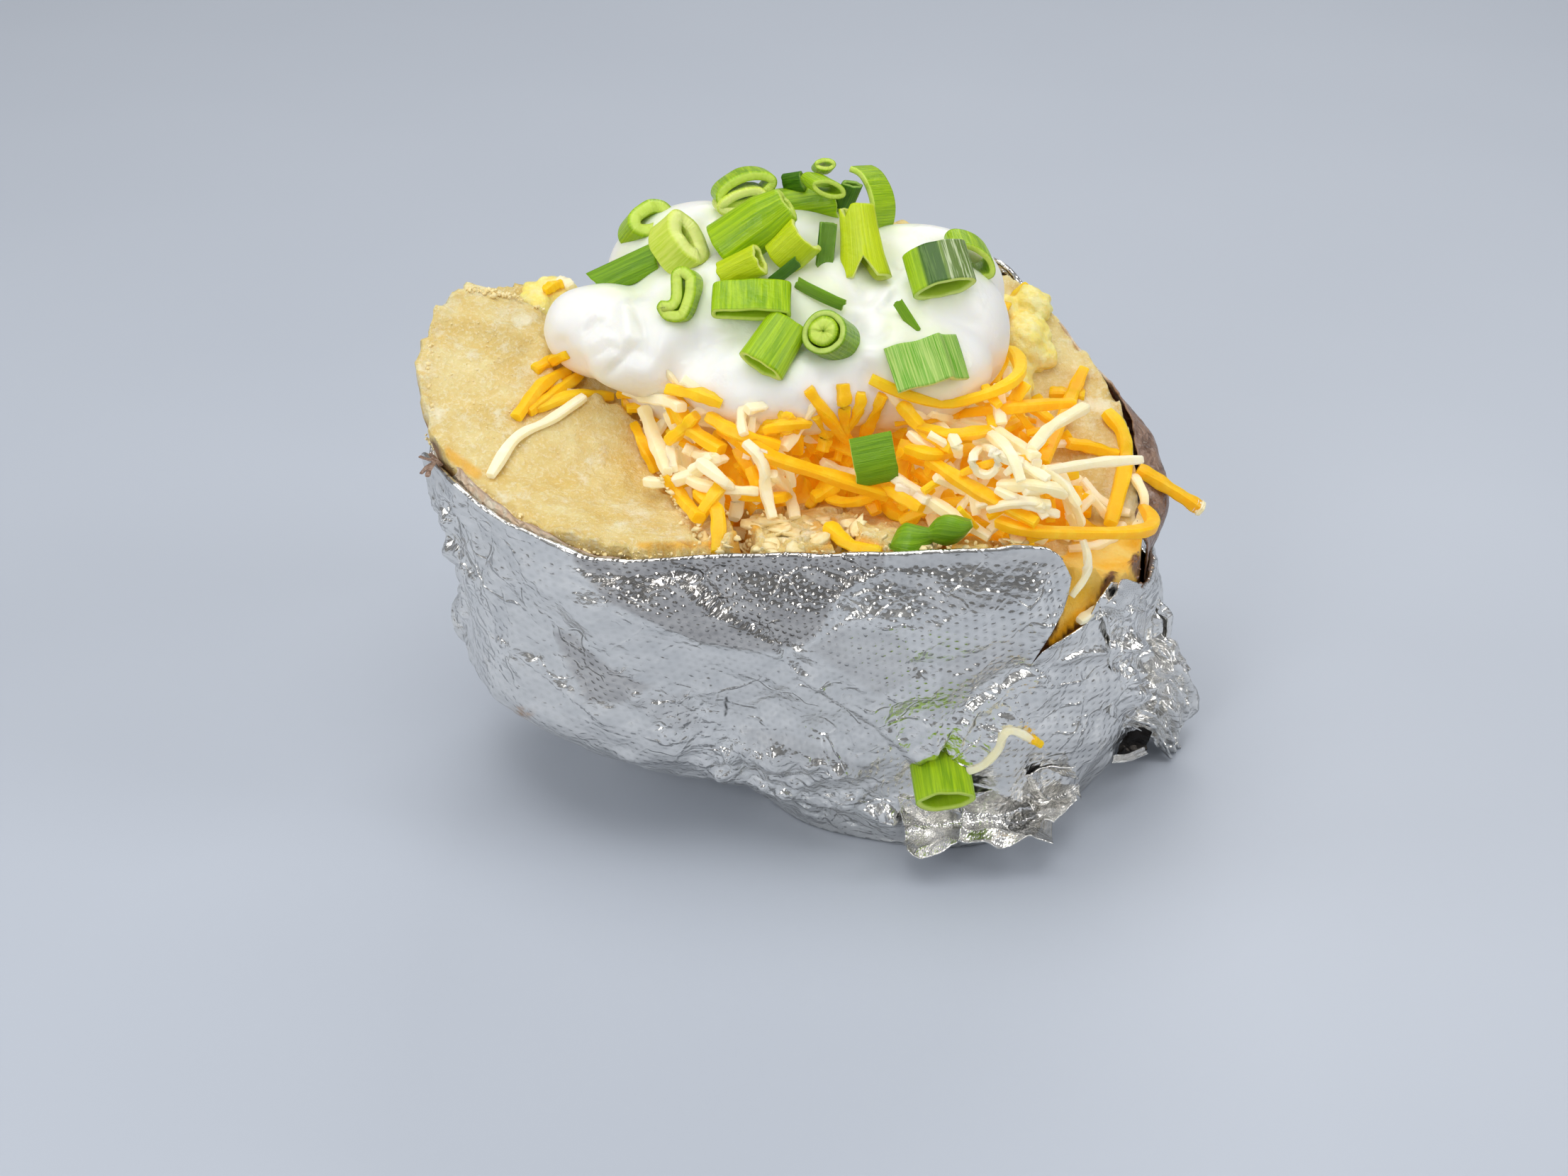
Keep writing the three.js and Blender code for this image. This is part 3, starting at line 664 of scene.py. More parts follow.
def foil_relief(points, picture, below, faces_camera):
    """How far the crumpled sheet stands out from the even shape, and its three strengths."""
    dull_and_painted_dark = zone_share(picture, DULL_AND_PAINTED_DARK_ZONES, 0.5) * faces_camera
    embossed = np.maximum(0.40, zone_share(picture, EMBOSSED_ZONES, 1.0)) * faces_camera
    embossed = embossed + 0.5 * (1 - faces_camera)
    crinkled_and_painted_glint = zone_share(picture, CRINKLED_AND_PAINTED_GLINT_ZONES, 1.6) * faces_camera + 0.55 * (1 - faces_camera)
    leaning = rise(picture[:, 0], 760, 850) * (1 - rise(picture[:, 0], 1440, 1500)) * faces_camera
    taut = 1 - 0.75 * np.maximum(leaning * (1 - rise(below, 7, 14)), 0.8 * np.minimum(dull_and_painted_dark, 1))
    relief = 0.5 * layered(points, 24, 2, 8) + 0.30 * taut * creases(points, 18, 15)
    relief += (0.40 * taut + 0.7 * crinkled_and_painted_glint) * creases(points, 10, 30)
    relief += (0.28 * taut + 0.75 * crinkled_and_painted_glint) * creases(points, 5, 60)
    relief += (0.07 * taut + 0.7 * crinkled_and_painted_glint) * creases(points, 2.4, 90)
    relief += 2.4 * leaning * rise(below, 0, 10) * (1 - rise(below, 11, 34))
    for chain, lift, half, step in FOLDS:
        far, side, along = chain_distance(picture, chain)
        far = far / PIXELS_PER_MM
        ends = rise(along, 0, 0.35) * rise(len(chain) - 1 - along, 0, 0.35)
        fold = 1.5 * lift * np.exp(-far / half)
        fold = fold + 0.6 * step * side * rise(far, 0, 0.45) * np.exp(-far / 4.5)
        relief += fold * ends * faces_camera
    return relief, dull_and_painted_dark, embossed, crinkled_and_painted_glint


def grid_mesh(name, columns, rows, uv_layer=None):
    """A flat grid as a mesh, and its points' shares of the way along it and up it."""
    mesh = shape_mesh(name, bmesh.ops.create_grid, uv_layer, x_segments=columns, y_segments=rows, size=0.5)
    return mesh, mesh_points(mesh)[:, :2] + 0.5


def lay_out(mesh, uv_layer, flat):
    """Gives each point of a mesh its place on the flat."""
    corners = np.empty(len(mesh.loops), int)
    mesh.loops.foreach_get("vertex_index", corners)
    mesh.uv_layers[uv_layer].data.foreach_set("uv", flat[corners].astype(np.float32).ravel())


def wrap_half(name, first_turn, last_turn, columns, rows, lift):
    """One half of the wrap as a mesh in millimetres, from under the potato over the hem."""
    mesh, sheet = grid_mesh(name, columns, rows, "wrap")
    turn = (first_turn + sheet[:, 0] * (last_turn - first_turn)) % 360
    level = np.interp(sheet[:, 1], ROW_SHARES, ROW_LEVELS)
    hem = hem_height(turn)
    upright = np.clip(level - 1, 0, 1) * hem
    reach = side_radius(turn, upright) * np.clip(level, 0, 1)
    angle = np.radians(turn)
    outward = np.stack([np.cos(angle), np.sin(angle), 0 * angle], axis=1)
    even = [AXIS_X, 0, 0] + outward * reach[:, None] + np.stack([0 * upright, 0 * upright, upright], axis=1)
    picture = in_picture(even)
    to_camera = CAMERA_AT - even
    faces_camera = rise((outward * to_camera).sum(axis=1) / np.linalg.norm(to_camera, axis=1), -0.1, 0.05)
    relief, dull_and_painted_dark, embossed, crinkled_and_painted_glint = foil_relief(even, picture, hem - upright, faces_camera)
    relief = np.clip(relief, -1.3, 3.2) * rise(level, 1.0, 1.1) * (1 - 0.8 * rise(level, 1.93, 2.0))
    curl = np.clip(level - 2, 0, 1) * HEM_CURL
    fat = HEM_ROUND * (1 + 0.35 * drift(even, 5, 71))
    relief += 0.35 * rise(level, 1.97, 1.995) - fat * (1 - np.cos(curl)) + lift * rise(level, 0.5, 1)
    points = even + outward * (relief - 0.3)[:, None]
    points[:, 2] += 0.06 + fat * np.sin(curl)
    set_points(mesh, points)
    for label, strength in (("dull_and_painted_dark", dull_and_painted_dark), ("embossed", embossed), ("crinkled_and_painted_glint", crinkled_and_painted_glint)):
        note(mesh, label, strength)
    spot_far = np.hypot(picture[:, 0] - STAIN_AT[0], (picture[:, 1] - STAIN_AT[1]) * 2)
    note(mesh, "stain", faces_camera * rise(-spot_far, -STAIN_REACH, -STAIN_REACH * 0.3))
    # Painted shade: near-black in the hole under the right flap, and along a short near-black line.
    dark_line = rise(-chain_distance(picture, DARK_LINE)[0], -2.5, -0.5)
    note(mesh, "dark", faces_camera * np.maximum(dark_line, rise(outline_depth(picture, HOLE_SHADE), -0.1, 0.2)))
    arc = np.radians(first_turn + sheet[:, 0] * (last_turn - first_turn)) * 50
    lay_out(mesh, "wrap", np.stack([arc, upright + np.clip(level, 0, 1) * 40], axis=1) * 0.001)
    return mesh


def cut_gap(form, outline):
    """Cuts the sheet along the outline's lines of sight and takes away what is inside."""
    for start, end in zip(outline, outline[1:] + outline[:1]):
        flat_of_sight = Vector(sight(*start)).cross(Vector(sight(*end))).normalized()
        spots = in_picture(np.array([vertex.co for vertex in form.verts]))
        low, high = np.minimum(start, end) - 12, np.maximum(start, end) + 12
        close = ((spots > low) & (spots < high)).all(axis=1)
        faces = {face for vertex, near in zip(form.verts, close) if near and vertex.co.y < 12
                 for face in vertex.link_faces}
        edges = {edge for face in faces for edge in face.edges}
        corners = {vertex for face in faces for vertex in face.verts}
        bmesh.ops.bisect_plane(form, geom=[*faces, *edges, *corners], plane_co=Vector(CAMERA_AT),
                               plane_no=flat_of_sight, dist=1e-5)
    middles = np.array([face.calc_center_median() for face in form.faces])
    gone = in_outline(in_picture(middles), outline) & (middles[:, 1] < 12)
    bmesh.ops.delete(form, geom=[face for face, away in zip(form.faces, gone) if away], context="FACES")


def thin_sheet(name, mesh, finish, thickness, offset, gap=None):
    """Cuts the gap in a sheet, closes what meets, and makes it a piece with a wall in metres."""
    form = bmesh.new()
    form.from_mesh(mesh)
    if gap:
        cut_gap(form, gap)
    bmesh.ops.remove_doubles(form, verts=form.verts, dist=0.01)
    bmesh.ops.recalc_face_normals(form, faces=form.faces)
    bmesh.ops.translate(form, verts=form.verts, vec=(0, -FORWARD_SHIFT, 0))
    bmesh.ops.transform(form, verts=form.verts, matrix=Matrix.Scale(0.001, 4))
    form.to_mesh(mesh)
    sheet = make_piece(name, mesh, finish)
    wall = sheet.modifiers.new("thickness", "SOLIDIFY")
    wall.thickness = thickness * 0.001
    wall.offset = offset
    return sheet


kitchen_foil = Finish("kitchen_foil", Metallic=1.0, Roughness=0.3)
f = kitchen_foil
wrap_place = f.node("ShaderNodeUVMap", {"uv_map": "wrap"})
turned = f.node("ShaderNodeMapping", {}, {"Vector": wrap_place, "Rotation": (0, 0, FOIL_DIMPLE_TURN),
                                          "Scale": (1000 / FOIL_DIMPLE_PITCH,) * 3})
row_wave = f.along(turned, "Y") * (math.tau / FOIL_DIMPLE_ROWS)
column_wave = f.along(turned, "X") * math.tau - row_wave * 0.5
lattice = (column_wave.cosine() + row_wave.cosine() + (column_wave + row_wave).cosine() + 1.5) / 4.5
dimple = lattice.step(0.30, 0.92)
dull_and_painted_dark, embossed, crinkled_and_painted_glint = f.attribute("dull_and_painted_dark"), f.attribute("embossed"), f.attribute("crinkled_and_painted_glint")
streaks = f.noise(6, 4, 0.6, stretch=(1, 1, 2.2))
streaked = streaks.step(0.35, 0.7)
# Painted reflection: where the sheet leans up it is painted a darker, warmer grey for the dark room it
# faces.
tone = f.mix(dull_and_painted_dark, f.mix(streaked, colour(0.74, 0.735, 0.715), colour(0.88, 0.865, 0.83)),
             f.mix(streaked, colour(0.47, 0.45, 0.43), colour(0.68, 0.65, 0.61)))
# Painted shade: the dimples are painted darker.
tone = f.mix(dimple * embossed * 0.28, tone, colour(0.25, 0.25, 0.25))
# Painted highlight: crinkled zones are painted lighter for the light their facets catch.
tone = f.mix(crinkled_and_painted_glint * 0.5, tone, colour(0.92, 0.91, 0.88))
tone = f.mix(f.attribute("stain") * 0.7 * f.noise(1.5, 3).step(0.35, 0.6), tone, colour(0.60, 0.30, 0.08))
# Painted shade: near-black where the dark strength is set, in the hole, on the sheet inside the gathered
# end and along a short line.
tone = f.mix(f.attribute("dark"), tone, colour(0.02, 0.018, 0.016))
f.varies(Base_Color=tone, Roughness=0.17 + 0.12 * f.noise(5, 3) - 0.04 * dull_and_painted_dark)
here_and_there = f.noise(11, 3).step(0.40, 0.62)
f.bump((streaks, 0.26), (f.facets(10) * (1 - 0.7 * dull_and_painted_dark), 0.12), (f.facets(5) * (0.15 + crinkled_and_painted_glint), 0.17),
       (f.facets(2.2) * crinkled_and_painted_glint, 0.22), (f.wrinkles(5.5, 0.07) * here_and_there, 0.16),
       (dimple * embossed, 0.145))

for name, (first_turn, last_turn, columns, rows, lift) in FOIL_HALVES.items():
    half = thin_sheet(name, wrap_half(name, first_turn, last_turn, columns, rows, lift), kitchen_foil,
                      FOIL_THICKNESS, -1, GAP_OUTLINE if name == "foil_front" else None)
    if name == "foil_front":
        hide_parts("foil")

# The sheet's ends: at the right it is gathered in pleats round a crumpled core, and small flaps
# are folded out under the front. Each patch is a smooth face through its knots, rows from the
# top down: a place in the picture and, as a third number, how deep in the scene it stands (y).
# Without a third number the knot lies on the wrap.
CORE_AT, CORE_SIZE = np.array([55.5, 2.5, 13.5]), np.array([8.0, 7.5, 10.5])
PLEATS = [
    [(1552, 852), (1596, 838, -1), (1616, 828, 3), (1630, 842, 5)],
    [(1562, 885), (1604, 874, -3), (1628, 868, 1), (1642, 880, 4)],
    [(1566, 925), (1608, 918, -5), (1636, 912, -1), (1649, 922, 3)],
    [(1568, 965), (1612, 958, -6), (1650, 945, -3), (1684, 960, 0)],
    [(1566, 1000), (1612, 998, -7), (1654, 988, -4), (1684, 1000, 0)],
    [(1572, 1022), (1616, 1020, -7), (1650, 1026, -4), (1668, 1034, 0)],
    [(1600, 1030, -9), (1622, 1040, -6), (1642, 1058, -3), (1650, 1062, 0)],
]
FOIL_PATCHES = {
    # knots, how far it stands out from the wrap, folds along it and their height
    "foil_pleats": (PLEATS, 0.1, 5.2, 1.0),
    "foil_tab": ([[(1545, 872), (1560, 868), (1600, 880)],
                  [(1556, 848), (1575, 845), (1604, 855)],
                  [(1568, 821), (1583, 817), (1600, 822)]], 0.8, 0.6, 0.5),
    "foil_flap_front": ([[(1266, 1125), (1305, 1128), (1350, 1130)],
                         [(1268, 1160), (1310, 1163), (1352, 1160)],
                         [(1280, 1199, -40.6), (1315, 1199, -40.9), (1352, 1194, -40.4)]], 1.5, 1.3, 0.8),
    "foil_flap_right": ([[(1350, 1118), (1398, 1112), (1440, 1108)],
                         [(1350, 1150), (1410, 1148), (1470, 1140)],
                         [(1352, 1192, -40.0), (1420, 1193, -39.5), (1482, 1184, -38.0)]], 1.3, 1.5, 0.8),
    "foil_flap_end": ([[(1440, 1095), (1475, 1085), (1510, 1075)],
                       [(1445, 1130), (1480, 1125), (1515, 1108)],
                       [(1474, 1160, -35.0), (1496, 1150, -34.0), (1520, 1128, -30.5)]], 0.8, 1.0, 0.5),
    "foil_lip": ([[(1573, 1066, -21), (1592, 1064, -19), (1614, 1054, -15)],
                  [(1570, 1076, -22), (1592, 1074, -20), (1622, 1062, -15)]], 0, 0.6, 0.3),
    # A small sheet inside the gathered end, painted near-black as painted shade.
    "foil_inside_painted_shade": ([[(1590, 1034, -10), (1608, 1026, -9), (1624, 1032, -8)],
                     [(1574, 1066, -12), (1592, 1064, -11), (1618, 1058, -9)]], 0, 0.6, 0.2),
}
PATCH_COLUMNS, PATCH_ROWS = 80, 110
MOST_FLAP_FOLDS = 2          # a patch with more folds than this is pleated


def curve_through(knots, count):
    """A smooth path of count points through a few knots."""
    knots = np.asarray(knots, float)
    if len(knots) == 2:
        knots = np.stack([knots[0], knots.mean(axis=0), knots[1]])
    padded = np.concatenate([2 * knots[:1] - knots[1:2], knots, 2 * knots[-1:] - knots[-2:-1]])
    place = np.linspace(0, len(knots) - 1, count)
    index = np.minimum(place.astype(int), len(knots) - 2)
    part = (place - index)[:, None]
    return bent(*(padded[index + step] for step in range(4)), part)


def patch_knot(stand_out, across, down, deep=None):
    line = sight(across, down)
    if deep is not None:
        return CAMERA_AT + line * ((deep - CAMERA_AT[1]) / line[1])
    turn, height = side_place(across, down)
    return on_side(turn, height, stand_out)


core_mesh = shape_mesh("foil_core", bmesh.ops.create_icosphere, "wrap", subdivisions=6, radius=1)
ball = mesh_points(core_mesh)
even = CORE_AT + ball * CORE_SIZE
reach = 1.2 * creases(even, 7, 130) + 1.2 * creases(even, 3.5, 160) + 0.8 * creases(even, 1.8, 190)
points = even + ball * np.clip(reach, -3, 2.5)[:, None]
points[:, 2] = np.maximum(points[:, 2], 0.2)
set_points(core_mesh, in_metres(points))
# Its dull strength paints it a darker grey as painted reflection; its crinkled strength paints it lighter
# as a painted highlight.
for label, value in (("dull_and_painted_dark", 0.2), ("embossed", 0.2), ("crinkled_and_painted_glint", 1.0)):
    note(core_mesh, label, value + 0 * reach)
make_piece("foil_core", core_mesh, kitchen_foil)


def foil_patch(name, knots, stand_out, folds, fold_height, number, mirrored=False):
    """A small sheet through its knots, with folds along it or, with many folds, with pleats."""
    mesh, share = grid_mesh(name, PATCH_COLUMNS, PATCH_ROWS, "wrap")
    pleated = folds > MOST_FLAP_FOLDS
    lifts = [0.1] + [stand_out] * (len(knots) - 1)      # a patch is held by its first row
    lines = [curve_through([patch_knot(lift, *knot) for knot in row], PATCH_COLUMNS + 1)
             for row, lift in zip(knots, lifts)]
    face = np.stack([curve_through(column, PATCH_ROWS + 1) for column in np.stack(lines, axis=1)], axis=1)
    column = np.rint(share[:, 0] * PATCH_COLUMNS).astype(int)
    row = np.rint((1 - share[:, 1]) * PATCH_ROWS).astype(int)
    even = face[row, column]
    along, down = np.gradient(face, axis=1), np.gradient(face, axis=0)
    out = np.cross(along, down)
    out = (out / np.linalg.norm(out, axis=2)[:, :, None])[row, column]
    out *= np.sign(((CAMERA_AT - even) * out).sum(axis=1))[:, None]
    wave = (share[:, 1] + 0.75 * share[:, 0]) * folds
    wave = wave + 0.6 * drift(np.column_stack([share * [1.5, 3.5], 0 * row]), 1.0, 210 + number)
    pleat = 2 * np.abs(2 * (wave % 1) - 1) - 1
    gathered, lying, coarse, fine = 1, 1, 0.7, 0
    if pleated:
        strayed = 0.5 * drift(np.column_stack([share * 3, 0 * row]), 1.0, 250 + number)
        upright_wave = share[:, 0] * folds * 1.3 + strayed
        pleat = pleat + 0.8 * np.abs(2 * (upright_wave % 1) - 1) * rise(-share[:, 0], -0.7, -0.2)
        gathered = rise(share[:, 0], 0, 0.35) * (1 - 0.6 * rise(share[:, 0], 0.8, 1))
        lying, coarse, fine = 0.15 + 0.85 * rise(share[:, 0], 0, 0.2), 0.8, 0.25
    relief = fold_height * pleat * gathered
    relief += lying * (coarse * creases(even, 6, 200 + number) + fine * creases(even, 2.4, 230 + number))
    ragged = 0.6 * layered(even, 3, 2, 44 + number) * (np.abs(share - 0.5).max(axis=1) * 2) ** 6
    points = even + out * relief[:, None] + (even - even.mean(axis=0)) * 0.12 * ragged[:, None]
    points[:, 2] = np.maximum(points[:, 2], 0.3)
    if mirrored:
        points[:, 1] = 5 - points[:, 1]
    set_points(mesh, points)
    # The dull strength paints a darker grey as painted reflection; the crinkled strength paints lighter as
    # a painted highlight.
    note(mesh, "dull_and_painted_dark", 0.2 * rise(drift(even, 4, number), 0, 0.5))
    # The sheet inside the gathered end is painted near-black as painted shade.
    for label, strength in (("embossed", 0.3), ("dark", float(name == "foil_inside_painted_shade")),
                            ("crinkled_and_painted_glint", 0.8 if pleated else 0.1)):
        note(mesh, label, strength + 0 * relief)
    lay_out(mesh, "wrap", share * 0.03)
    thin_sheet(name, mesh, kitchen_foil, FOIL_THICKNESS, -1)


for number, (name, (knots, stand_out, folds, fold_height)) in enumerate(FOIL_PATCHES.items()):
    foil_patch(name, knots, stand_out, folds, fold_height, number)
foil_patch("foil_pleats_behind", PLEATS, 0.1, 5.2, 1.0, 20, mirrored=True)


# ------------------------------------------------------------------ the loose skin
# Thin brown skin that has come off the baked flesh: it stands out in a glossy, wrinkled roll at
# the right, and shows as a narrow pale band over the foil's edge at the left.

SKIN_ROLL_TURNS, SKIN_ROLL_FOOT = (-10, 34), 41
SKIN_BAND_TURNS = (182, 232)
SKIN_THICKNESS = 0.3
potato_skin = Finish("potato_skin", Roughness=0.3, Subsurface_Weight=0.1, Specular_IOR_Level=0.5,
                     Subsurface_Radius=(0.001, 0.0005, 0.0003))
f = potato_skin
tan = f.mix(f.noise(2.0, 4, 0.6).step(0.42, 0.6), colour(0.80, 0.60, 0.42), colour(0.93, 0.82, 0.64))
dark = f.mix(f.noise(2.2, 5, 0.7).step(0.48, 0.64), colour(0.30, 0.195, 0.145), colour(0.12, 0.066, 0.045))
# Painted highlight: small greyish flecks on the dark skin are painted lighter.
dark = f.mix(f.noise(1.1, 4, 0.7).step(0.60, 0.70) * 0.6, dark, colour(0.45, 0.36, 0.30))
f.varies(Base_Color=f.mix(f.attribute("pale"), dark, tan), Roughness=0.16 + 0.24 * f.noise(2, 3))
f.bump((f.wrinkles(2.2, 0.35), 0.26), (f.noise(0.8, 3, 0.6), 0.12))


def skin_sheet(name, turns, columns, rows, place_on):
    """A thin sheet of skin: place_on gives its points and how pale it is from its turns and rows."""
    mesh, share = grid_mesh(name, columns, rows)
    points, pale = place_on(turns[0] + share[:, 0] * (turns[1] - turns[0]), share[:, 1])
    set_points(mesh, points)
    note(mesh, "pale", pale)
    thin_sheet(name, mesh, potato_skin, SKIN_THICKNESS, 0)


def rolled_skin(turn, row):
    """From the foil (0) out over the roll and in to the flesh's rim (1)."""
    along = on_side(turn % 360, 55 + 0 * turn)
    top = rim_height(turn % 360) + 0.4 - 0.75 * rise(turn, 16, 26) + 0.5 * layered(along, 3, 3, 81)
    height = SKIN_ROLL_FOOT + (top - SKIN_ROLL_FOOT) * row
    roll = 3.8 * np.exp(-((turn - 7) / 9.5) ** 2)
    outward = 0.2 - 1.6 * rise(-turn, -2, 5) - 2.5 * rise(turn, 17, 27) * (1 - 0.6 * rise(row, 0.82, 1.0))
    outward = outward + roll * np.sin(np.pi * np.clip(row, 0, 1) ** 1.3) - 1.7 * rise(row, 0.82, 1.0)
    spots = on_side(turn % 360, height)
    outward = outward + (0.15 + 0.12 * roll) * layered(spots * [1, 1, 0.6], 3.2, 3, 85)
    return on_side(turn % 360, height, outward), 0.75 * rise(turn, 15, 22)


def band_of_skin(turn, row):
    """From under the foil's edge (0) up to a little over it (1)."""
    hem = hem_height(turn)
    along = on_side(turn, hem)
    wide = 1.5 * rise(turn, 184, 194) * (1 - rise(turn, 206, 228)) + 0.05
    height = hem - 3 + row * (3 + wide + 0.35 * layered(along, 4, 3, 83))
    out = on_side(turn, height, -1.1 - 0.5 * row + 0.25 * layered(along, 6, 2, 84))
    return out, 1 - 0.7 * rise(row, 0.95, 1.0)


skin_sheet("skin_roll", SKIN_ROLL_TURNS, 160, 60, rolled_skin)
skin_sheet("skin_band", SKIN_BAND_TURNS, 160, 16, band_of_skin)


# ------------------------------------------------------------------ the sour cream
# Thick sour cream, spooned on in one large dollop: soft lobes that run into each other, with
# a drawn-out tail to the left where the spoon left it. The wet surface has a dull shine.

CREAM_VOXEL, CREAM_SMOOTHING = 0.6, 26
CREAM_LOBES = [
    # centre, half sizes
    ((-8, 6, 74), (29, 16, 14)),
    ((-8, 8, 80), (28, 17, 15)),
    ((-8, 15, 86), (20.5, 12.5, 12)),
    ((-37.5, 4.5, 80.5), (10, 8, 8)),
    ((-27, -1, 80), (14, 8.5, 8)),
    ((-7, -8, 77), (18, 9, 8)),
    ((9, -4, 78), (16, 9.5, 9.5)),
    ((16, 5, 80), (12.5, 10.5, 12.5)),
    ((-24, 17, 83), (14, 10.5, 14)),
    ((12, 15, 82), (16.5, 10.5, 13)),
]
# Dents, ridges and folds of the surface: place, reach and height in millimetres.
CREAM_STROKES = [
    ([(876, 415), (886, 455), (892, 500)], 1.2, 0.8),
    ([(903, 425), (910, 475), (902, 525)], 2.0, -1.2),
    ([(905, 470), (880, 505), (850, 534)], 0.8, -0.6),
    ([(815, 462), (838, 440), (866, 444)], 0.6, 0.40),
    ([(818, 480), (842, 455), (872, 460)], 0.6, -0.40),
    ([(826, 498), (850, 472), (876, 480)], 0.6, 0.35),
    ([(832, 508), (858, 490), (880, 496)], 0.5, -0.30),
    ([(780, 470), (800, 500), (835, 525)], 1.5, -0.5),
    ([(1222, 445), (1240, 428), (1262, 398)], 0.8, 0.5),
    ([(1245, 350), (1285, 390), (1290, 440)], 2.0, -0.7),
    ([(925, 545), (960, 500), (1010, 470)], 3.0, -1.0),
    ([(1190, 452), (1225, 470), (1262, 462)], 1.6, -0.9),
    ([(1200, 490), (1240, 500), (1290, 470)], 2.2, 0.7),
    ([(1255, 360), (1225, 400), (1215, 440)], 3.0, -1.1),
    ([(940, 330), (1000, 300), (1050, 290)], 2.5, 0.8),
    ([(1130, 520), (1190, 540), (1250, 545)], 3.0, -0.8),
]


def joined(name, lobes, voxel, rounds):
    """Lobes run together into one smooth skin: its fineness and the rounds of smoothing."""
    form = bmesh.new()
    for at, size in lobes:
        ball = bmesh.ops.create_icosphere(form, subdivisions=4, radius=1)["verts"]
        bmesh.ops.scale(form, verts=ball, vec=size)
        bmesh.ops.translate(form, verts=ball, vec=at)
    rough = bpy.data.meshes.new(name)
    form.to_mesh(rough)
    shape = bpy.data.objects.new(name, rough)
    bpy.context.scene.collection.objects.link(shape)
    remesh = shape.modifiers.new("remesh", "REMESH")
    remesh.mode = "VOXEL"
    remesh.voxel_size = voxel
    smooth = shape.modifiers.new("smooth", "SMOOTH")
    smooth.factor = 0.5
    smooth.iterations = rounds
    whole = bpy.data.meshes.new_from_object(shape.evaluated_get(bpy.context.evaluated_depsgraph_get()))
    whole.name = name
    bpy.data.objects.remove(shape)
    return whole


def normals(mesh):
    flat = np.empty(len(mesh.vertices) * 3)
    mesh.vertex_normals.foreach_get("vector", flat)
    return flat.reshape(-1, 3)


def solid_tree(mesh):
    """A mesh in millimetres as a tree that lines of sight can meet."""
    return BVHTree.FromPolygons([vertex.co for vertex in mesh.vertices],
                                [list(face.vertices) for face in mesh.polygons])


cream_mesh = joined("sour_cream_dollop", CREAM_LOBES, CREAM_VOXEL, CREAM_SMOOTHING)
spots, outward = mesh_points(cream_mesh), normals(cream_mesh)
picture = in_picture(spots)
seen = rise(-outward @ LOOK, -0.1, 0.25)
relief = 0.9 * drift(spots, 16, 31) + 0.30 * drift(spots, 6, 32)
for chain, half, lift in CREAM_STROKES:
    far, side, along = chain_distance(picture, chain)
    ends = rise(along, 0, 0.6) * rise(len(chain) - 1 - along, 0, 0.6)
    relief += 1.35 * seen * ends * lift * np.exp(-(far / PIXELS_PER_MM / half) ** 2)
spots += outward * relief[:, None]
set_points(cream_mesh, spots)
cream_tree = solid_tree(cream_mesh)
cream_points = spots


# ------------------------------------------------------------------ the crushed butter
# Salted butter, crushed into the hot flesh on both sides of the cream, so that it lies there
# in soft, crumbly yellow lumps with a greasy shine.

BUTTER_VOXEL, BUTTER_SMOOTHING = 0.45, 2
BUTTER_LUMPS = {
    "butter_right": [((33, 24, 69), (5, 7, 5.5)), ((31, 17, 65), (4, 6, 4.5)), ((35, 30, 73), (4, 4, 3.5)),
                     ((36, 20, 68), (3, 3, 3)), ((30, 28, 73), (3, 3.5, 3))],
    "butter_left": [((-48, 24, 77), (5, 4, 4)), ((-44, 20, 74), (4, 4, 3.5)), ((-50, 21, 77), (3, 3, 3))],
}
crushed_butter = Finish("crushed_butter", Roughness=0.34, Subsurface_Weight=0.4,
                        Subsurface_Radius=(0.002, 0.0014, 0.0005))
f = crushed_butter
creamy = f.mix(f.noise(3.5, 4, 0.6).step(0.42, 0.62), colour(0.97, 0.78, 0.19), colour(0.98, 0.89, 0.42))
f.varies(Base_Color=creamy, Roughness=0.28 + 0.3 * f.noise(2, 3))
f.bump((f.noise(1.5, 3, 0.6), 0.35), (f.noise(0.5, 2), 0.1))
for name, lumps in BUTTER_LUMPS.items():
    butter_mesh = joined(name, lumps, BUTTER_VOXEL, BUTTER_SMOOTHING)
    spots, outward = mesh_points(butter_mesh), normals(butter_mesh)
    spots += outward * (0.7 * layered(spots, 3.2, 3, 41) + 0.25 * drift(spots, 0.9, 44))[:, None]
    set_points(butter_mesh, in_metres(spots))
    butter = make_piece("crushed_" + name, butter_mesh, crushed_butter)
    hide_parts(name)


# ------------------------------------------------------------------ the grated cheese
# Orange cheddar and a white cheese, grated together on the coarse side of a grater: square
# shreds, straight or curled, thrown on as a loose heap. A low core keeps the heap closed.

PILE_STEP = 0.5
PILE_X = np.arange(-66, 66.1, PILE_STEP)
PILE_Y = np.arange(-46, 46.1, PILE_STEP)
HEAP_AT, HEAP_SIZE, HEAP_HEIGHT = np.array([11.0, -9.0]), np.array([43.0, 26.0]), 10.5
HEAP_OUTLINE = [(850, 525), (905, 590), (945, 690), (1010, 735), (1090, 715), (1180, 700), (1265, 716),
                (1385, 765), (1480, 765), (1560, 745), (1575, 720), (1500, 690), (1478, 650), (1480, 600),
                (1430, 540), (1410, 480), (1250, 400), (900, 400)]
SHRED_WIDTH = 2.2
SHRED_HALF = 0.36            # from the middle of a shred to its top, as a share of its width

corner_x, corner_y = np.meshgrid(PILE_X, PILE_Y, indexing="ij")
plan = np.stack([corner_x.ravel(), corner_y.ravel()], axis=1)
plan_turn = np.degrees(np.arctan2(plan[:, 1], plan[:, 0] - AXIS_X)) % 360
within = np.hypot(plan[:, 0] - AXIS_X, plan[:, 1]) < around(RIM_RADII, plan_turn) - POTATO_INSET + 0.5
bare_height = flesh_top(plan)


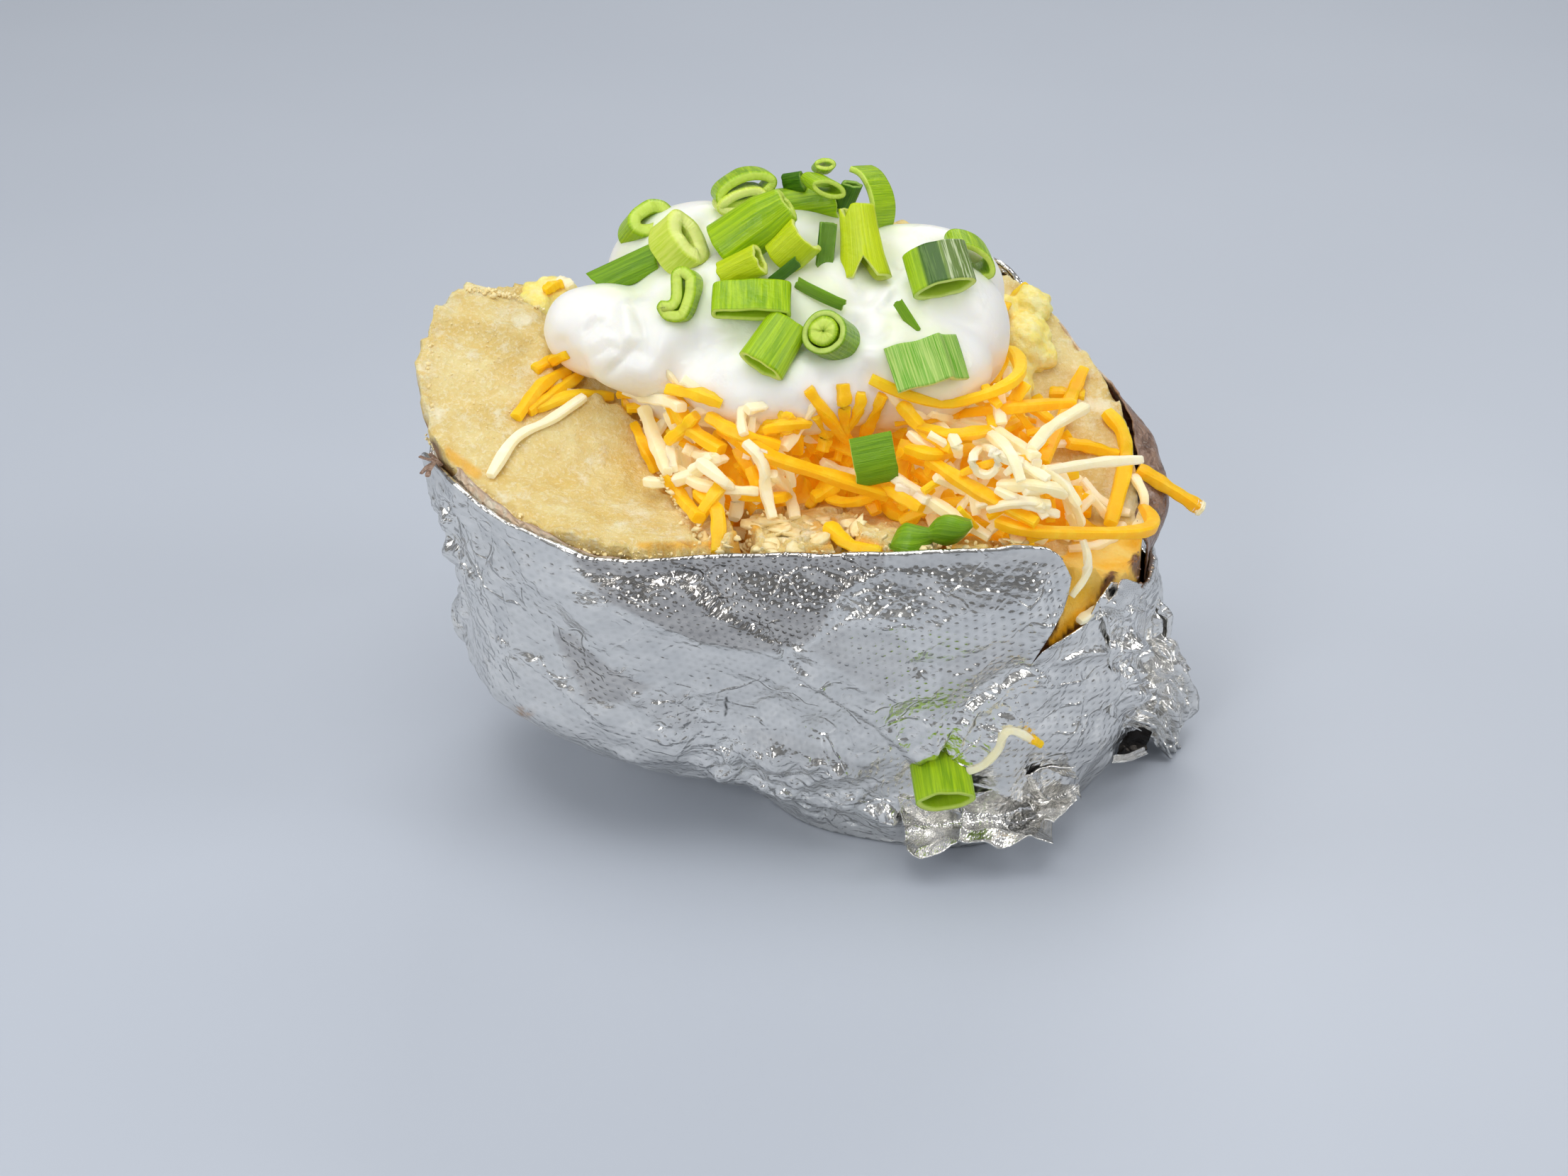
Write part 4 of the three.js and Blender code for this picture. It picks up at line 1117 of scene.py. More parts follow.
def heap_top(plan, ground):
    share = (((plan - HEAP_AT) / HEAP_SIZE) ** 2).sum(axis=1)
    swell = np.clip(1 - share, 0, 1) ** 0.6
    spots = np.column_stack([plan, ground + 2])
    inside = rise(outline_depth(in_picture(spots), HEAP_OUTLINE), 0, 6)
    lumps = layered(spots, 7, 3, 51)
    return ground - 1.5 + (HEAP_HEIGHT * swell + 1.5 + 1.0 * lumps) * inside * (share < 1)


pile = np.maximum(bare_height, heap_top(plan, bare_height))
pile[~within] = -50
pile = pile.reshape(len(PILE_X), len(PILE_Y))


def pile_height(plan):
    across = np.clip((plan[:, 0] - PILE_X[0]) / PILE_STEP, 0, len(PILE_X) - 1.01)
    deep = np.clip((plan[:, 1] - PILE_Y[0]) / PILE_STEP, 0, len(PILE_Y) - 1.01)
    i, j = across.astype(int), deep.astype(int)
    p, q = across - i, deep - j
    return ((pile[i, j] * (1 - p) + pile[i + 1, j] * p) * (1 - q)
            + (pile[i, j + 1] * (1 - p) + pile[i + 1, j + 1] * p) * q)


SIGHT_STEPS = np.arange(250, 470, 0.25)[:, None]


def on_pile(across, down):
    """The first point of the heap or bare flesh on a line of sight, or the one nearest to it."""
    points = CAMERA_AT + SIGHT_STEPS * sight(across, down)
    over = points[:, 2] - pile_height(points[:, :2])
    return points[np.argmax(over < 0) if (over < 0).any() else np.argmin(np.abs(over))]


def on_toppings(across, down):
    """The same, or the sour cream where that is nearer."""
    spot = on_pile(across, down)
    hit = cream_tree.ray_cast(Vector(CAMERA_AT), Vector(sight(across, down)))[0]
    if hit is not None and (hit - Vector(CAMERA_AT)).length < np.linalg.norm(spot - CAMERA_AT):
        return np.array(hit)
    return spot


def raise_pile(path, half):
    """Lays a shred on the heap: the heap is now as high as the shred's top under it."""
    quarters = [path[:-1] + (path[1:] - path[:-1]) * part for part in (0, 0.25, 0.5, 0.75)]
    dense = np.concatenate(quarters + [path[-1:]])
    reach = int(math.ceil(half / PILE_STEP))
    for x, y, z in dense:
        i, j = round((x - PILE_X[0]) / PILE_STEP), round((y - PILE_Y[0]) / PILE_STEP)
        near = (slice(max(i - reach, 0), i + reach + 1), slice(max(j - reach, 0), j + reach + 1))
        pile[near] = np.maximum(pile[near], z + half)


def rod(sides, cuts):
    """A straight rod of unit length along Z, half a unit in radius."""
    form = bmesh.new()
    bmesh.ops.create_cone(form, cap_ends=True, segments=sides, radius1=0.5, radius2=0.5, depth=1)
    bmesh.ops.rotate(form, verts=form.verts, cent=(0, 0, 0),
                     matrix=Matrix.Rotation(math.pi / sides, 3, "Z"))
    long_edges = [edge for edge in form.edges if abs(edge.verts[0].co.z - edge.verts[1].co.z) > 0.5]
    bmesh.ops.subdivide_edges(form, edges=long_edges, cuts=cuts)
    mesh = bpy.data.meshes.new("rod")
    form.to_mesh(mesh)
    return mesh


def bend_rod(template, path, width, thickness, turned=0.0, seed=0):
    """The rod's points bent along a path, square in section and a little uneven."""
    share = np.clip(template[:, 2] + 0.5, 0, 1)
    place = share * (len(path) - 1)
    index = np.minimum(place.astype(int), len(path) - 2)
    part = (place - index)[:, None]
    along = path[1:] - path[:-1]
    along = along / np.maximum(np.linalg.norm(along, axis=1), 1e-6)[:, None]
    smooth_along = np.concatenate([along[:1], (along[1:] + along[:-1]) / 2, along[-1:]])
    tangent = smooth_along[index] * (1 - part) + smooth_along[index + 1] * part
    tangent /= np.linalg.norm(tangent, axis=1)[:, None]
    sideways = np.cross(tangent, [0.02, 0.03, 1.0])
    sideways /= np.linalg.norm(sideways, axis=1)[:, None]
    upward = np.cross(sideways, tangent)
    box = np.sign(template[:, :2]) * np.where(np.abs(template[:, :2]) > 0.35, 0.5, 0.33)
    spin = turned + 0.25 * np.sin(share * 3 + seed)
    first = box[:, 0] * np.cos(spin) - box[:, 1] * np.sin(spin)
    second = box[:, 0] * np.sin(spin) + box[:, 1] * np.cos(spin)
    end = 1 - 0.12 * np.exp(-share * 30) - 0.12 * np.exp(-(1 - share) * 30)
    swell = end * (1 + 0.09 * np.sin(share * 9 + seed * 2.3) + 0.06 * np.sin(share * 23 + seed))
    centre = path[index] * (1 - part) + path[index + 1] * part
    first, second = first * width * swell, second * thickness * swell
    return centre + sideways * first[:, None] + upward * second[:, None]


def copies_mesh(name, template, shapes):
    """Many copies of a template as one mesh, each with its own points in millimetres."""
    form = bmesh.new()
    for _ in shapes:
        form.from_mesh(template)
    mesh = bpy.data.meshes.new(name)
    form.to_mesh(mesh)
    set_points(mesh, in_metres(np.concatenate(shapes)))
    return mesh


def shred_tone(seed):
    """An even spread of tones from 0 to 1, one for each shred's seed."""
    return (math.sin(seed * 12.9898) * 43758.5453) % 1


def shred_mesh(name, shreds, template):
    """All shreds of one cheese as one mesh, each a bent copy of the rod."""
    straight = mesh_points(template)
    mesh = copies_mesh(name, template, [bend_rod(straight, *shred) for shred in shreds])
    note(mesh, "tone", np.repeat([shred_tone(shred[-1]) for shred in shreds], len(straight)))
    mesh.set_sharp_from_angle(angle=math.radians(38))
    return mesh


# The loose fill: short broken shreds at random, each laid on what is there before it.
FILL_COUNT = 1700
FILL_LENGTHS = [3, 4, 5, 6, 7, 9, 12]
FILL_SINK = 0.55             # how far a shred settles among those under it
chance = random.Random(11)
fill = {"orange": [], "white": []}


def white_share(across, down):
    """How much of the cheese is white: most of it at the left and at the lower right."""
    if across < 1090:
        return 0.62
    return 0.5 if across > 1300 and down > 600 else 0.2


for number in range(FILL_COUNT):
    across, down = 0, 0
    while outline_depth(np.array([[across, down]]), HEAP_OUTLINE)[0] < 0.4:
        across, down = chance.uniform(830, 1590), chance.uniform(440, 780)
    spot = on_pile(across, down)
    covered = cream_tree.ray_cast(Vector(CAMERA_AT), Vector(sight(across, down)))[3]
    if covered and covered < np.linalg.norm(spot - CAMERA_AT) - 5:
        continue
    length = chance.choice(FILL_LENGTHS) * chance.uniform(0.8, 1.2)
    heading, turning = chance.uniform(0, math.pi), chance.gauss(0, 0.05)
    steps = np.linspace(-length / 2, length / 2, 7)
    headings = heading + turning * steps
    run = np.stack([np.cos(headings), np.sin(headings)], axis=1) * (length / 6)
    flat_path = spot[:2] + np.cumsum(run, axis=0) - run.sum(axis=0) / 2
    ground = pile_height(flat_path)
    if ground.min() < 30 or np.ptp(ground) > 6:
        continue
    lying = np.polyval(np.polyfit(steps, ground, 1 if length < 8 else 2), steps)
    lying += (ground - lying).max() - FILL_SINK
    width = SHRED_WIDTH * chance.uniform(0.55, 1.0)
    path = np.column_stack([flat_path, lying + width * SHRED_HALF])
    name = "white" if chance.random() < white_share(across, down) else "orange"
    fill[name].append((path, width, width * chance.uniform(0.6, 0.95), chance.uniform(-0.7, 0.7), number))
    raise_pile(path, width * SHRED_HALF)

# Shreds that can be told one by one: their points in the picture, their width and how far each
# is lifted off what it lies on. A point's third number is its height above the table.
ORANGE_SHREDS = [
    ([(1228, 541), (1285, 566), (1343, 575), (1400, 560), (1436, 538), (1437, 515), (1425, 500)], 2.2, 0.9),
    ([(1345, 592), (1425, 582), (1513, 575)], 2.2, 0.9),
    ([(1528, 532), (1505, 585), (1469, 668)], 2.4, 1.6),
    ([(1560, 590), (1583, 620), (1586, 665), (1566, 748)], 2.5, 1.2),
    ([(1505, 628), (1540, 634), (1578, 645)], 2.4, 0.4),
    ([(1605, 668), (1650, 697), (1692, 724)], 2.6, 1.0),
    ([(1409, 744), (1450, 757), (1540, 760), (1612, 757), (1625, 742), (1612, 722)], 2.3, 1.0),
    ([(1310, 655), (1380, 700), (1462, 744)], 2.4, 0.8),
    ([(1018, 612), (1084, 651), (1160, 676), (1252, 706)], 2.6, 1.0),
    ([(985, 698), (1012, 728), (1012, 783)], 2.4, 0.5),
    ([(939, 673), (962, 706), (986, 734)], 2.2, 0.4),
    ([(1168, 748), (1200, 775), (1245, 786)], 2.4, 0.8),
    ([(1140, 555), (1165, 590), (1198, 630)], 2.3, 0.8),
    ([(1189, 548), (1191, 585), (1190, 620)], 2.2, 0.8),
    ([(1247, 560), (1232, 590), (1220, 618)], 2.2, 0.6),
    ([(800, 527), (765, 548), (728, 594)], 2.2, 0.6),
    ([(818, 533), (780, 560), (745, 585)], 2.0, 0.5),
    ([(862, 562), (812, 560), (756, 580)], 2.0, 0.4),
    ([(802, 503), (778, 512), (754, 525)], 2.2, 0.4),
    ([(1450, 408), (1425, 430), (1403, 447)], 2.2, 0.6),
    ([(945, 553), (985, 560), (1018, 573)], 2.4, 0.5),
    ([(952, 575), (975, 610), (1018, 640)], 2.6, 0.6),
    ([(982, 590), (960, 612), (945, 625)], 2.4, 0.5),
    ([(895, 600), (908, 630), (925, 668)], 1.8, 0.2),
    ([(1480, 555), (1530, 560)], 2.4, 0.2),
    ([(1250, 645), (1290, 632), (1330, 618)], 2.2, 0.6),
    ([(1080, 610), (1110, 602), (1140, 600)], 2.2, 0.4),
    ([(1110, 590), (1120, 610), (1125, 640)], 2.2, 0.5),
    ([(1040, 700), (1090, 705), (1112, 700)], 2.0, 0.3),
    ([(768, 412, 80), (780, 405, 80.5), (792, 402, 80.5)], 2.0, 0.2),
    ([(1270, 575), (1300, 610), (1345, 640)], 2.3, 0.8),
    ([(1262, 600), (1300, 596), (1350, 590)], 2.2, 0.9),
    ([(1280, 640), (1320, 648), (1370, 640)], 2.2, 0.9),
    ([(1300, 610), (1345, 618), (1395, 612)], 2.2, 0.6),
    ([(1150, 590), (1165, 615), (1160, 640)], 2.2, 0.5),
    ([(1215, 560), (1208, 590), (1190, 612)], 2.2, 0.8),
    ([(1230, 690), (1262, 700), (1300, 722)], 2.3, 0.6),
    ([(1000, 598), (1040, 622), (1100, 640)], 2.4, 1.4),
]
WHITE_SHREDS = [
    ([(824, 566), (776, 599), (728, 624), (692, 678)], 2.0, 0.8),
    ([(1262, 679), (1325, 720), (1396, 764)], 2.4, 0.7),
    ([(1359, 600), (1410, 618), (1460, 652)], 2.3, 0.9),
    ([(1440, 676), (1500, 664), (1555, 656), (1608, 652)], 2.2, 0.5),
    ([(1250, 553), (1270, 580), (1300, 592), (1340, 588), (1372, 568)], 2.2, 0.9),
    ([(1500, 690), (1515, 715), (1526, 744)], 2.0, 0.5),
    ([(1600, 676), (1614, 705), (1610, 735), (1600, 752)], 1.9, 0.5),
    ([(1527, 762, 62), (1534, 788, 59), (1531, 815, 55.8), (1512, 842, 52.6)], 1.6, 0.2),
    ([(1152, 575), (1130, 605), (1105, 638)], 2.3, 0.7),
    ([(1052, 642), (1076, 668), (1080, 708), (1090, 748)], 2.1, 2.2),
    ([(950, 664), (985, 690), (1030, 698), (1068, 700)], 2.2, 0.9),
    ([(986, 660), (1022, 690), (1040, 712), (1036, 742)], 2.3, 1.2),
    ([(908, 582), (925, 630), (942, 674)], 2.6, 1.0),
    ([(1090, 672), (1112, 700), (1122, 735)], 2.4, 0.5),
    ([(1410, 690), (1470, 690), (1500, 702)], 2.6, 0.6),
    ([(1395, 722), (1440, 712), (1480, 716)], 2.2, 0.5),
    ([(1455, 640), (1480, 610), (1530, 580)], 2.4, 0.7),
    ([(1075, 645), (1090, 640), (1110, 660), (1118, 690)], 2.0, 0.6),
    ([(905, 565), (940, 570), (962, 580)], 2.6, 0.6),
    ([(965, 635), (985, 645), (1010, 652)], 2.4, 0.5),
    ([(1395, 610), (1432, 632), (1438, 655), (1420, 672)], 1.9, 0.6),
    ([(1386, 640), (1372, 655), (1376, 676), (1394, 682), (1408, 668), (1402, 648), (1386, 642)], 1.7, 1.5),
    ([(1522, 878, 46.8), (1545, 862, 47.4), (1562, 855, 47.2)], 1.9, 0.2),
    ([(1310, 585), (1330, 590), (1345, 600)], 2.2, 0.4),
    ([(1430, 470), (1440, 500), (1455, 520)], 2.2, 0.6),
    ([(788, 398, 80.5), (798, 400, 80.5), (806, 408, 80)], 2.1, 0.3),
    ([(1345, 610), (1392, 622), (1424, 650), (1440, 690)], 2.2, 1.4),
    ([(1360, 605), (1420, 630), (1462, 668)], 2.0, 1.8),
    ([(1318, 600), (1345, 625), (1352, 650)], 2.0, 0.8),
    ([(1405, 700), (1450, 722), (1490, 735)], 2.0, 1.2),
    ([(1265, 690), (1290, 700), (1310, 712)], 2.0, 0.6),
    ([(1470, 668), (1500, 690), (1522, 720)], 2.0, 0.8),
    ([(1395, 650), (1440, 668), (1478, 690)], 2.1, 1.6),
    ([(1160, 655), (1190, 668), (1220, 672)], 2.0, 0.4),
    ([(960, 610), (948, 640), (950, 668)], 2.0, 0.8),
]
WHITE_TIPPED = 5             # the orange shred that ends in white
# One white shred with an orange end has dropped on the foil.
SHRED_ON_FOIL = {
    "white": [(1357, 1082), (1379, 1073), (1400, 1051), (1408, 1028), (1423, 1026), (1446, 1038)],
    "orange": [(1443, 1036), (1450, 1040), (1458, 1045)],
}


def at_height(across, down, height):
    line = sight(across, down)
    return CAMERA_AT + line * ((height - CAMERA_AT[2]) / line[2])


def laid_by_sight(points, lift, count=15):
    """A path over the toppings whose knots stand on given lines of sight."""
    knots = np.array([at_height(*point) if len(point) == 3 else on_toppings(*point) for point in points])
    for index in range(1, len(knots)):
        drop = knots[index, 2] - knots[index - 1, 2]
        if abs(drop) > 8 and len(points[index]) == 2:
            knots[index] = at_height(*points[index], knots[index - 1, 2] + math.copysign(3, drop))
    path = curve_through(knots, count)
    path[:, 2] += lift
    return path


SHRED_SLIMNESS = {"orange": 0.92, "white": 0.80}
long_rod, short_rod = rod(8, 17), rod(8, 5)
told = {"orange": [], "white": []}
for name, table in (("orange", ORANGE_SHREDS), ("white", WHITE_SHREDS)):
    for number, (points, width, lift) in enumerate(table):
        path, width = laid_by_sight(points, lift), width * SHRED_SLIMNESS[name]
        told[name].append((path, width, width * 0.82, 0.3 * math.sin(number * 7), 1000 + number))
        if name == "orange" and number == WHITE_TIPPED:
            white_tip = path[-3:] + 0.7 * (path[-1] - path[-2])
            told["white"].append((white_tip, width * 1.06, width * 0.9, 0, 1050))
    path = curve_through([on_side(*side_place(*point), 1.3) for point in SHRED_ON_FOIL[name]], 15)
    told[name].append((path, 1.6, 1.3, 0.2, 1100))

CHEESE_COLOURS = {
    "orange": (colour(0.96, 0.44, 0.004), colour(0.97, 0.55, 0.012), colour(0.98, 0.68, 0.06)),
    "white": (colour(0.92, 0.78, 0.46), colour(0.94, 0.86, 0.60), colour(0.96, 0.92, 0.74)),
}
CHEESE_DEPTHS = {"orange": (0.0045, 0.0026, 0.0007), "white": (0.0024, 0.0021, 0.0013)}
# Painted glow: the cheese gives off a little light of its own colour, standing in for light passed on
# between thin shreds.
CHEESE_GLOW = 0.13           # the light that thin shreds pass on to each other
cheese_finishes = {}
for name, (deep, even, light) in CHEESE_COLOURS.items():
    cheese = Finish(name + "_cheese", Roughness=0.38, Subsurface_Weight=0.7, Specular_IOR_Level=0.3,
                    Subsurface_Radius=CHEESE_DEPTHS[name], Emission_Strength=CHEESE_GLOW)
    tone = cheese.attribute("tone")
    base = cheese.mix(tone, deep, even)
    base = cheese.mix(cheese.noise(3, 4, 0.6).step(0.5, 0.75) * 0.5, base, light)
    cheese.varies(Base_Color=base, Emission_Color=base, Roughness=0.30 + 0.22 * cheese.noise(2.5, 3))
    cheese.bump((cheese.noise(1.1, 3, 0.6), 0.12), (cheese.noise(0.35, 2), 0.04))
    cheese_finishes[name] = cheese
    slot = "cheese" if name == "orange" else "white_cheese"
    loose_mesh = shred_mesh(name + "_loose", fill[name], short_rod)
    loose = make_piece(name + "_shreds_loose", loose_mesh, cheese)
    make_piece(name + "_shreds_on_top", shred_mesh(name + "_top", told[name], long_rod), cheese)
    if name == "orange":
        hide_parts("cheese_heap")

# The core follows the heap a little under its top, so that no light falls through the shreds.
core_mesh = shape_mesh("cheese_core", bmesh.ops.create_uvsphere, u_segments=150, v_segments=110, radius=1)
ball = mesh_points(core_mesh)
flat_share = np.hypot(ball[:, 0], ball[:, 1])
lay = np.arcsin(np.clip(flat_share, 0, 1)) / (np.pi / 2) / np.maximum(flat_share, 1e-6)
lay = np.where(flat_share > 1e-6, lay, 0)
core_plan = HEAP_AT + ball[:, :2] * lay[:, None] * HEAP_SIZE
room = around(RIM_RADII, np.degrees(np.arctan2(core_plan[:, 1], core_plan[:, 0] - AXIS_X))) - 4
off = core_plan - [AXIS_X, 0]
reach = np.hypot(off[:, 0], off[:, 1])
core_plan = [AXIS_X, 0] + off * (np.minimum(reach, room) / np.maximum(reach, 1e-6))[:, None]
ground = flesh_top(core_plan)
upper = heap_top(core_plan, ground) - 0.4
core_height = np.where(ball[:, 2] > 0, upper, ground - 2.5)
set_points(core_mesh, in_metres(np.column_stack([core_plan, core_height])))
note(core_mesh, "tone", 0.2 + 0 * core_height)
make_piece("cheese_core", core_mesh, cheese_finishes["orange"])


# ------------------------------------------------------------------ the crumbs
# Crumbs and grains that broke off the floury flesh, lying along its torn edges and in front of
# the cheese, burnt flakes of skin at the gap, and a whisker of skin at the left end of the foil.

CRUMB_TRAILS = [
    # a line in the picture, how far crumbs stray from it, their number and the largest size
    ([(603, 432), (616, 410), (650, 406), (690, 413), (741, 421), (772, 437)], 6, 240, 0.8),
    ([(606, 486), (604, 517), (606, 570), (610, 600)], 5, 110, 0.7),
    ([(604, 614), (640, 662), (700, 712), (777, 764), (850, 785), (1000, 784)], 7, 330, 0.8),
    ([(905, 600), (940, 690), (990, 765)], 10, 60, 0.8),
    ([(1400, 364), (1453, 391), (1499, 437), (1537, 482), (1583, 544), (1604, 580)], 7, 160, 0.7),
    ([(1010, 770), (1150, 778), (1300, 778), (1440, 776)], 16, 60, 1.2),
    ([(1030, 735), (1150, 730), (1250, 750)], 22, 26, 1.2),
    ([(660, 470), (700, 560), (740, 660), (850, 730)], 60, 160, 0.35),
]
# The same for flat flakes that stand on the broken front like torn plates.
FLAKE_TRAILS = [
    ([(1020, 746), (1100, 742), (1170, 748), (1235, 756)], 22, 26, 5.4),
    ([(1010, 774), (1100, 776), (1240, 776)], 7, 18, 2.6),
    ([(1385, 762), (1440, 768)], 9, 8, 3.4),
    ([(925, 640), (950, 705), (995, 765)], 8, 14, 2.2),
]
BURNT_TRAILS = [
    ([(1606, 780), (1612, 810), (1606, 846)], 5, 16, 1.0),
    ([(1452, 948), (1484, 912)], 5, 10, 0.8),
]
# A frayed whisker of skin at the left end of the foil's edge, thread by thread.
WHISKERS = [
    [(618, 652), (606, 656), (594, 668)],
    [(616, 650), (604, 648), (592, 644)],
    [(614, 650), (606, 662), (603, 672)],
    [(622, 656), (612, 646), (607, 640)],
]
WHISKER_HEIGHT = 68
# Painted glow: the crumbs give off a little light of their grain colour.
potato_crumb = Finish("potato_crumb", Roughness=0.6, Specular_IOR_Level=0.2, Emission_Strength=0.06)
f = potato_crumb
grain = f.mix(f.noise(1.2, 3, 0.6).step(0.42, 0.62), colour(0.86, 0.70, 0.34), colour(0.92, 0.80, 0.48))
f.varies(Base_Color=grain, Emission_Color=grain)
crumb_template = shape_mesh("crumb", bmesh.ops.create_icosphere, subdivisions=2, radius=0.5)
crumb_points = mesh_points(crumb_template)


def first_met(across, down):
    """The first point of the heap or the flesh on a line of sight, or none."""
    points = CAMERA_AT + SIGHT_STEPS * sight(across, down)
    under = points[:, 2] < pile_height(points[:, :2])
    return points[np.argmax(under)] if under.any() else None


def crumb_piece(name, trails, place_on, finish, number, flat=False):
    """Uneven crumbs, or flat flakes, at random along their trails, all as one piece."""
    draw = np.random.default_rng(number)
    lumps = []
    for chain, stray, count, largest in trails:
        line = curve_through(chain, 200)
        for _ in range(count):
            spot = place_on(*(line[draw.integers(200)] + draw.normal(0, 1, 2) * stray * 0.5))
            if spot is None:
                continue
            size = largest * draw.uniform(0.3, 1) ** (1.0 if flat else 1.6)
            turned = np.linalg.qr(draw.normal(0, 1, (3, 3)))[0]
            if flat:
                lean = Euler((*draw.normal(0, 0.35, 2), draw.uniform(0, math.tau)))
                turned = np.array(lean.to_matrix()).T
            grains = crumb_points * (5 if flat else 2.6) + draw.uniform(0, 50, 3)
            uneven = 1 + 0.5 * drift(grains, 1.0, number)
            sides = draw.uniform(0.55, 1.3, 3) * ([1, 1, 0.28] if flat else [1, 1, 1])
            shape = (crumb_points * uneven[:, None] * sides) @ turned
            lumps.append(spot + shape * size + [0, 0, (0 if flat else 0.15) * size])
    make_piece(name, copies_mesh(name, crumb_template, lumps), finish)


crumb_piece("flesh_crumbs", CRUMB_TRAILS, first_met, potato_crumb, 301)
crumb_piece("torn_flakes", FLAKE_TRAILS, first_met, potato_crumb, 303, flat=True)
crumb_piece("burnt_flakes", BURNT_TRAILS, lambda across, down: on_side(*side_place(across, down), -0.6),
            potato_skin, 302)
whiskers = []
for number, points in enumerate(WHISKERS):
    path = curve_through([at_height(*point, WHISKER_HEIGHT) for point in points], 15)
    whiskers.append((path, 0.7, 0.3, 0.4 * number, 1200 + number))
make_piece("skin_whisker", shred_mesh("skin_whisker", whiskers, short_rod), potato_skin)


# ------------------------------------------------------------------ the cut scallions
# Pieces of scallion, cut across with a knife: hollow green leaves and pale, layered stalks.
# Some kept their round section, some are pressed flat, slit open, curled or twisted.

LEAF_TONES = {
    # outside, its stripes, inside, cut edge
    "bright": ((0.21, 0.40, 0.002), (0.42, 0.63, 0.006), (0.46, 0.66, 0.03), (0.62, 0.78, 0.13)),
    "lime": ((0.46, 0.58, 0.002), (0.60, 0.72, 0.010), (0.62, 0.74, 0.06), (0.74, 0.82, 0.22)),
    "pale": ((0.56, 0.72, 0.04), (0.72, 0.82, 0.14), (0.72, 0.82, 0.20), (0.80, 0.87, 0.28)),
    "green": ((0.12, 0.28, 0.003), (0.24, 0.44, 0.010), (0.34, 0.50, 0.04), (0.52, 0.66, 0.14)),
    "dark": ((0.030, 0.12, 0.003), (0.09, 0.24, 0.008), (0.14, 0.28, 0.02), (0.26, 0.42, 0.06)),
    "striped": ((0.12, 0.40, 0.008), (0.50, 0.68, 0.18), (0.50, 0.64, 0.16), (0.66, 0.76, 0.30)),
    "banded": ((0.24, 0.42, 0.004), (0.40, 0.60, 0.010), (0.46, 0.62, 0.06), (0.62, 0.76, 0.20)),
}
# The banded leaf's outside changes on its way round: from, to, and the two colours there.
LEAF_BANDS = [
    (0.22, 0.33, (0.05, 0.13, 0.012), (0.10, 0.20, 0.03)),
    (-0.1, 0.22, (0.14, 0.22, 0.05), (0.50, 0.58, 0.34)),
]
OUTSIDE_SHARE, RIM_SHARE = 0.44, 0.06       # of the way round a leaf's wall
LEAF_AROUND, LEAF_ROWS = 72, 50
WHOLE_WALL = 1000            # the wall's map runs from 0 to 1, so a whole wall is 1000 thousandths


def leaf_finish(name, outside, stripe, inside, edge):
    """A leaf's finish: veined outside, paler inside, palest on the cuts, told apart by the wall's map."""
    leaf = Finish("scallion_" + name, Roughness=0.3, Subsurface_Weight=0.25,
                  Subsurface_Radius=(0.0010, 0.0016, 0.0003), Specular_IOR_Level=0.32)
    place = leaf.node("ShaderNodeUVMap", {"uv_map": "wall"})
    veins = leaf.noise(WHOLE_WALL, 3, 0.6, stretch=(60, 1.5, 1), place=place)
    broad = leaf.noise(WHOLE_WALL, 2, 0.5, stretch=(9, 2, 1), place=place)
    row, round_the_leaf = leaf.along(place, "Y"), leaf.along(place, "X")
    within = row.step(OUTSIDE_SHARE + RIM_SHARE * 0.7, OUTSIDE_SHARE + RIM_SHARE * 1.2) * (
        1 - row.step(1 - RIM_SHARE * 1.2, 1 - RIM_SHARE * 0.7))
    cut = (row.step(OUTSIDE_SHARE + 0.002, OUTSIDE_SHARE + 0.016) * (
        1 - row.step(OUTSIDE_SHARE + RIM_SHARE - 0.01, OUTSIDE_SHARE + RIM_SHARE + 0.02))
        + row.step(1 - RIM_SHARE - 0.02, 1 - RIM_SHARE + 0.01))
    skin = leaf.mix(veins.step(0.40, 0.62), colour(*outside), colour(*stripe))
    skin = leaf.mix(broad.step(0.42, 0.65) * 0.45, skin, colour(*stripe))
    if name == "banded":
        for start, end, deep, light in LEAF_BANDS:
            band = round_the_leaf.step(start - 0.01, start + 0.01) * (
                1 - round_the_leaf.step(end - 0.01, end + 0.01))
            skin = leaf.mix(band, skin, leaf.mix(veins.step(0.50, 0.58), colour(*deep), colour(*light)))
    blotch = leaf.noise(1.6, 3, 0.6).step(0.50, 0.66)
    shade = leaf.mix(within, skin, leaf.mix(blotch * 0.5, colour(*inside), colour(*stripe)))
    leaf.varies(Base_Color=leaf.mix(cut, shade, leaf.mix(blotch * 0.35, colour(*edge), colour(*inside))),
                Roughness=0.20 + 0.25 * broad)
    leaf.bump((veins, 0.13), (leaf.noise(1.2, 2), 0.14))
    return leaf


def unit(vector):
    vector = np.asarray(vector, float)
    return vector / np.linalg.norm(vector)


def oval(width, thick, square=1.0):
    """Knots of a closed section; square under 1 makes it fuller at the corners."""
    angle = np.arange(16) * np.pi / 8
    wave = np.stack([np.cos(angle), np.sin(angle)], axis=1)
    return (np.sign(wave) * np.abs(wave) ** square * [width / 2, thick / 2]).tolist()


def bow(width, thick, sweep):
    """Knots of an open section: part of an oval, sweep degrees long, its middle at the top."""
    angle = np.radians(90 + np.linspace(-sweep / 2, sweep / 2, 13))
    lower = thick / 2 if sweep < 180 else 0
    return np.stack([np.cos(angle) * width / 2, np.sin(angle) * thick / 2 - lower], axis=1).tolist()


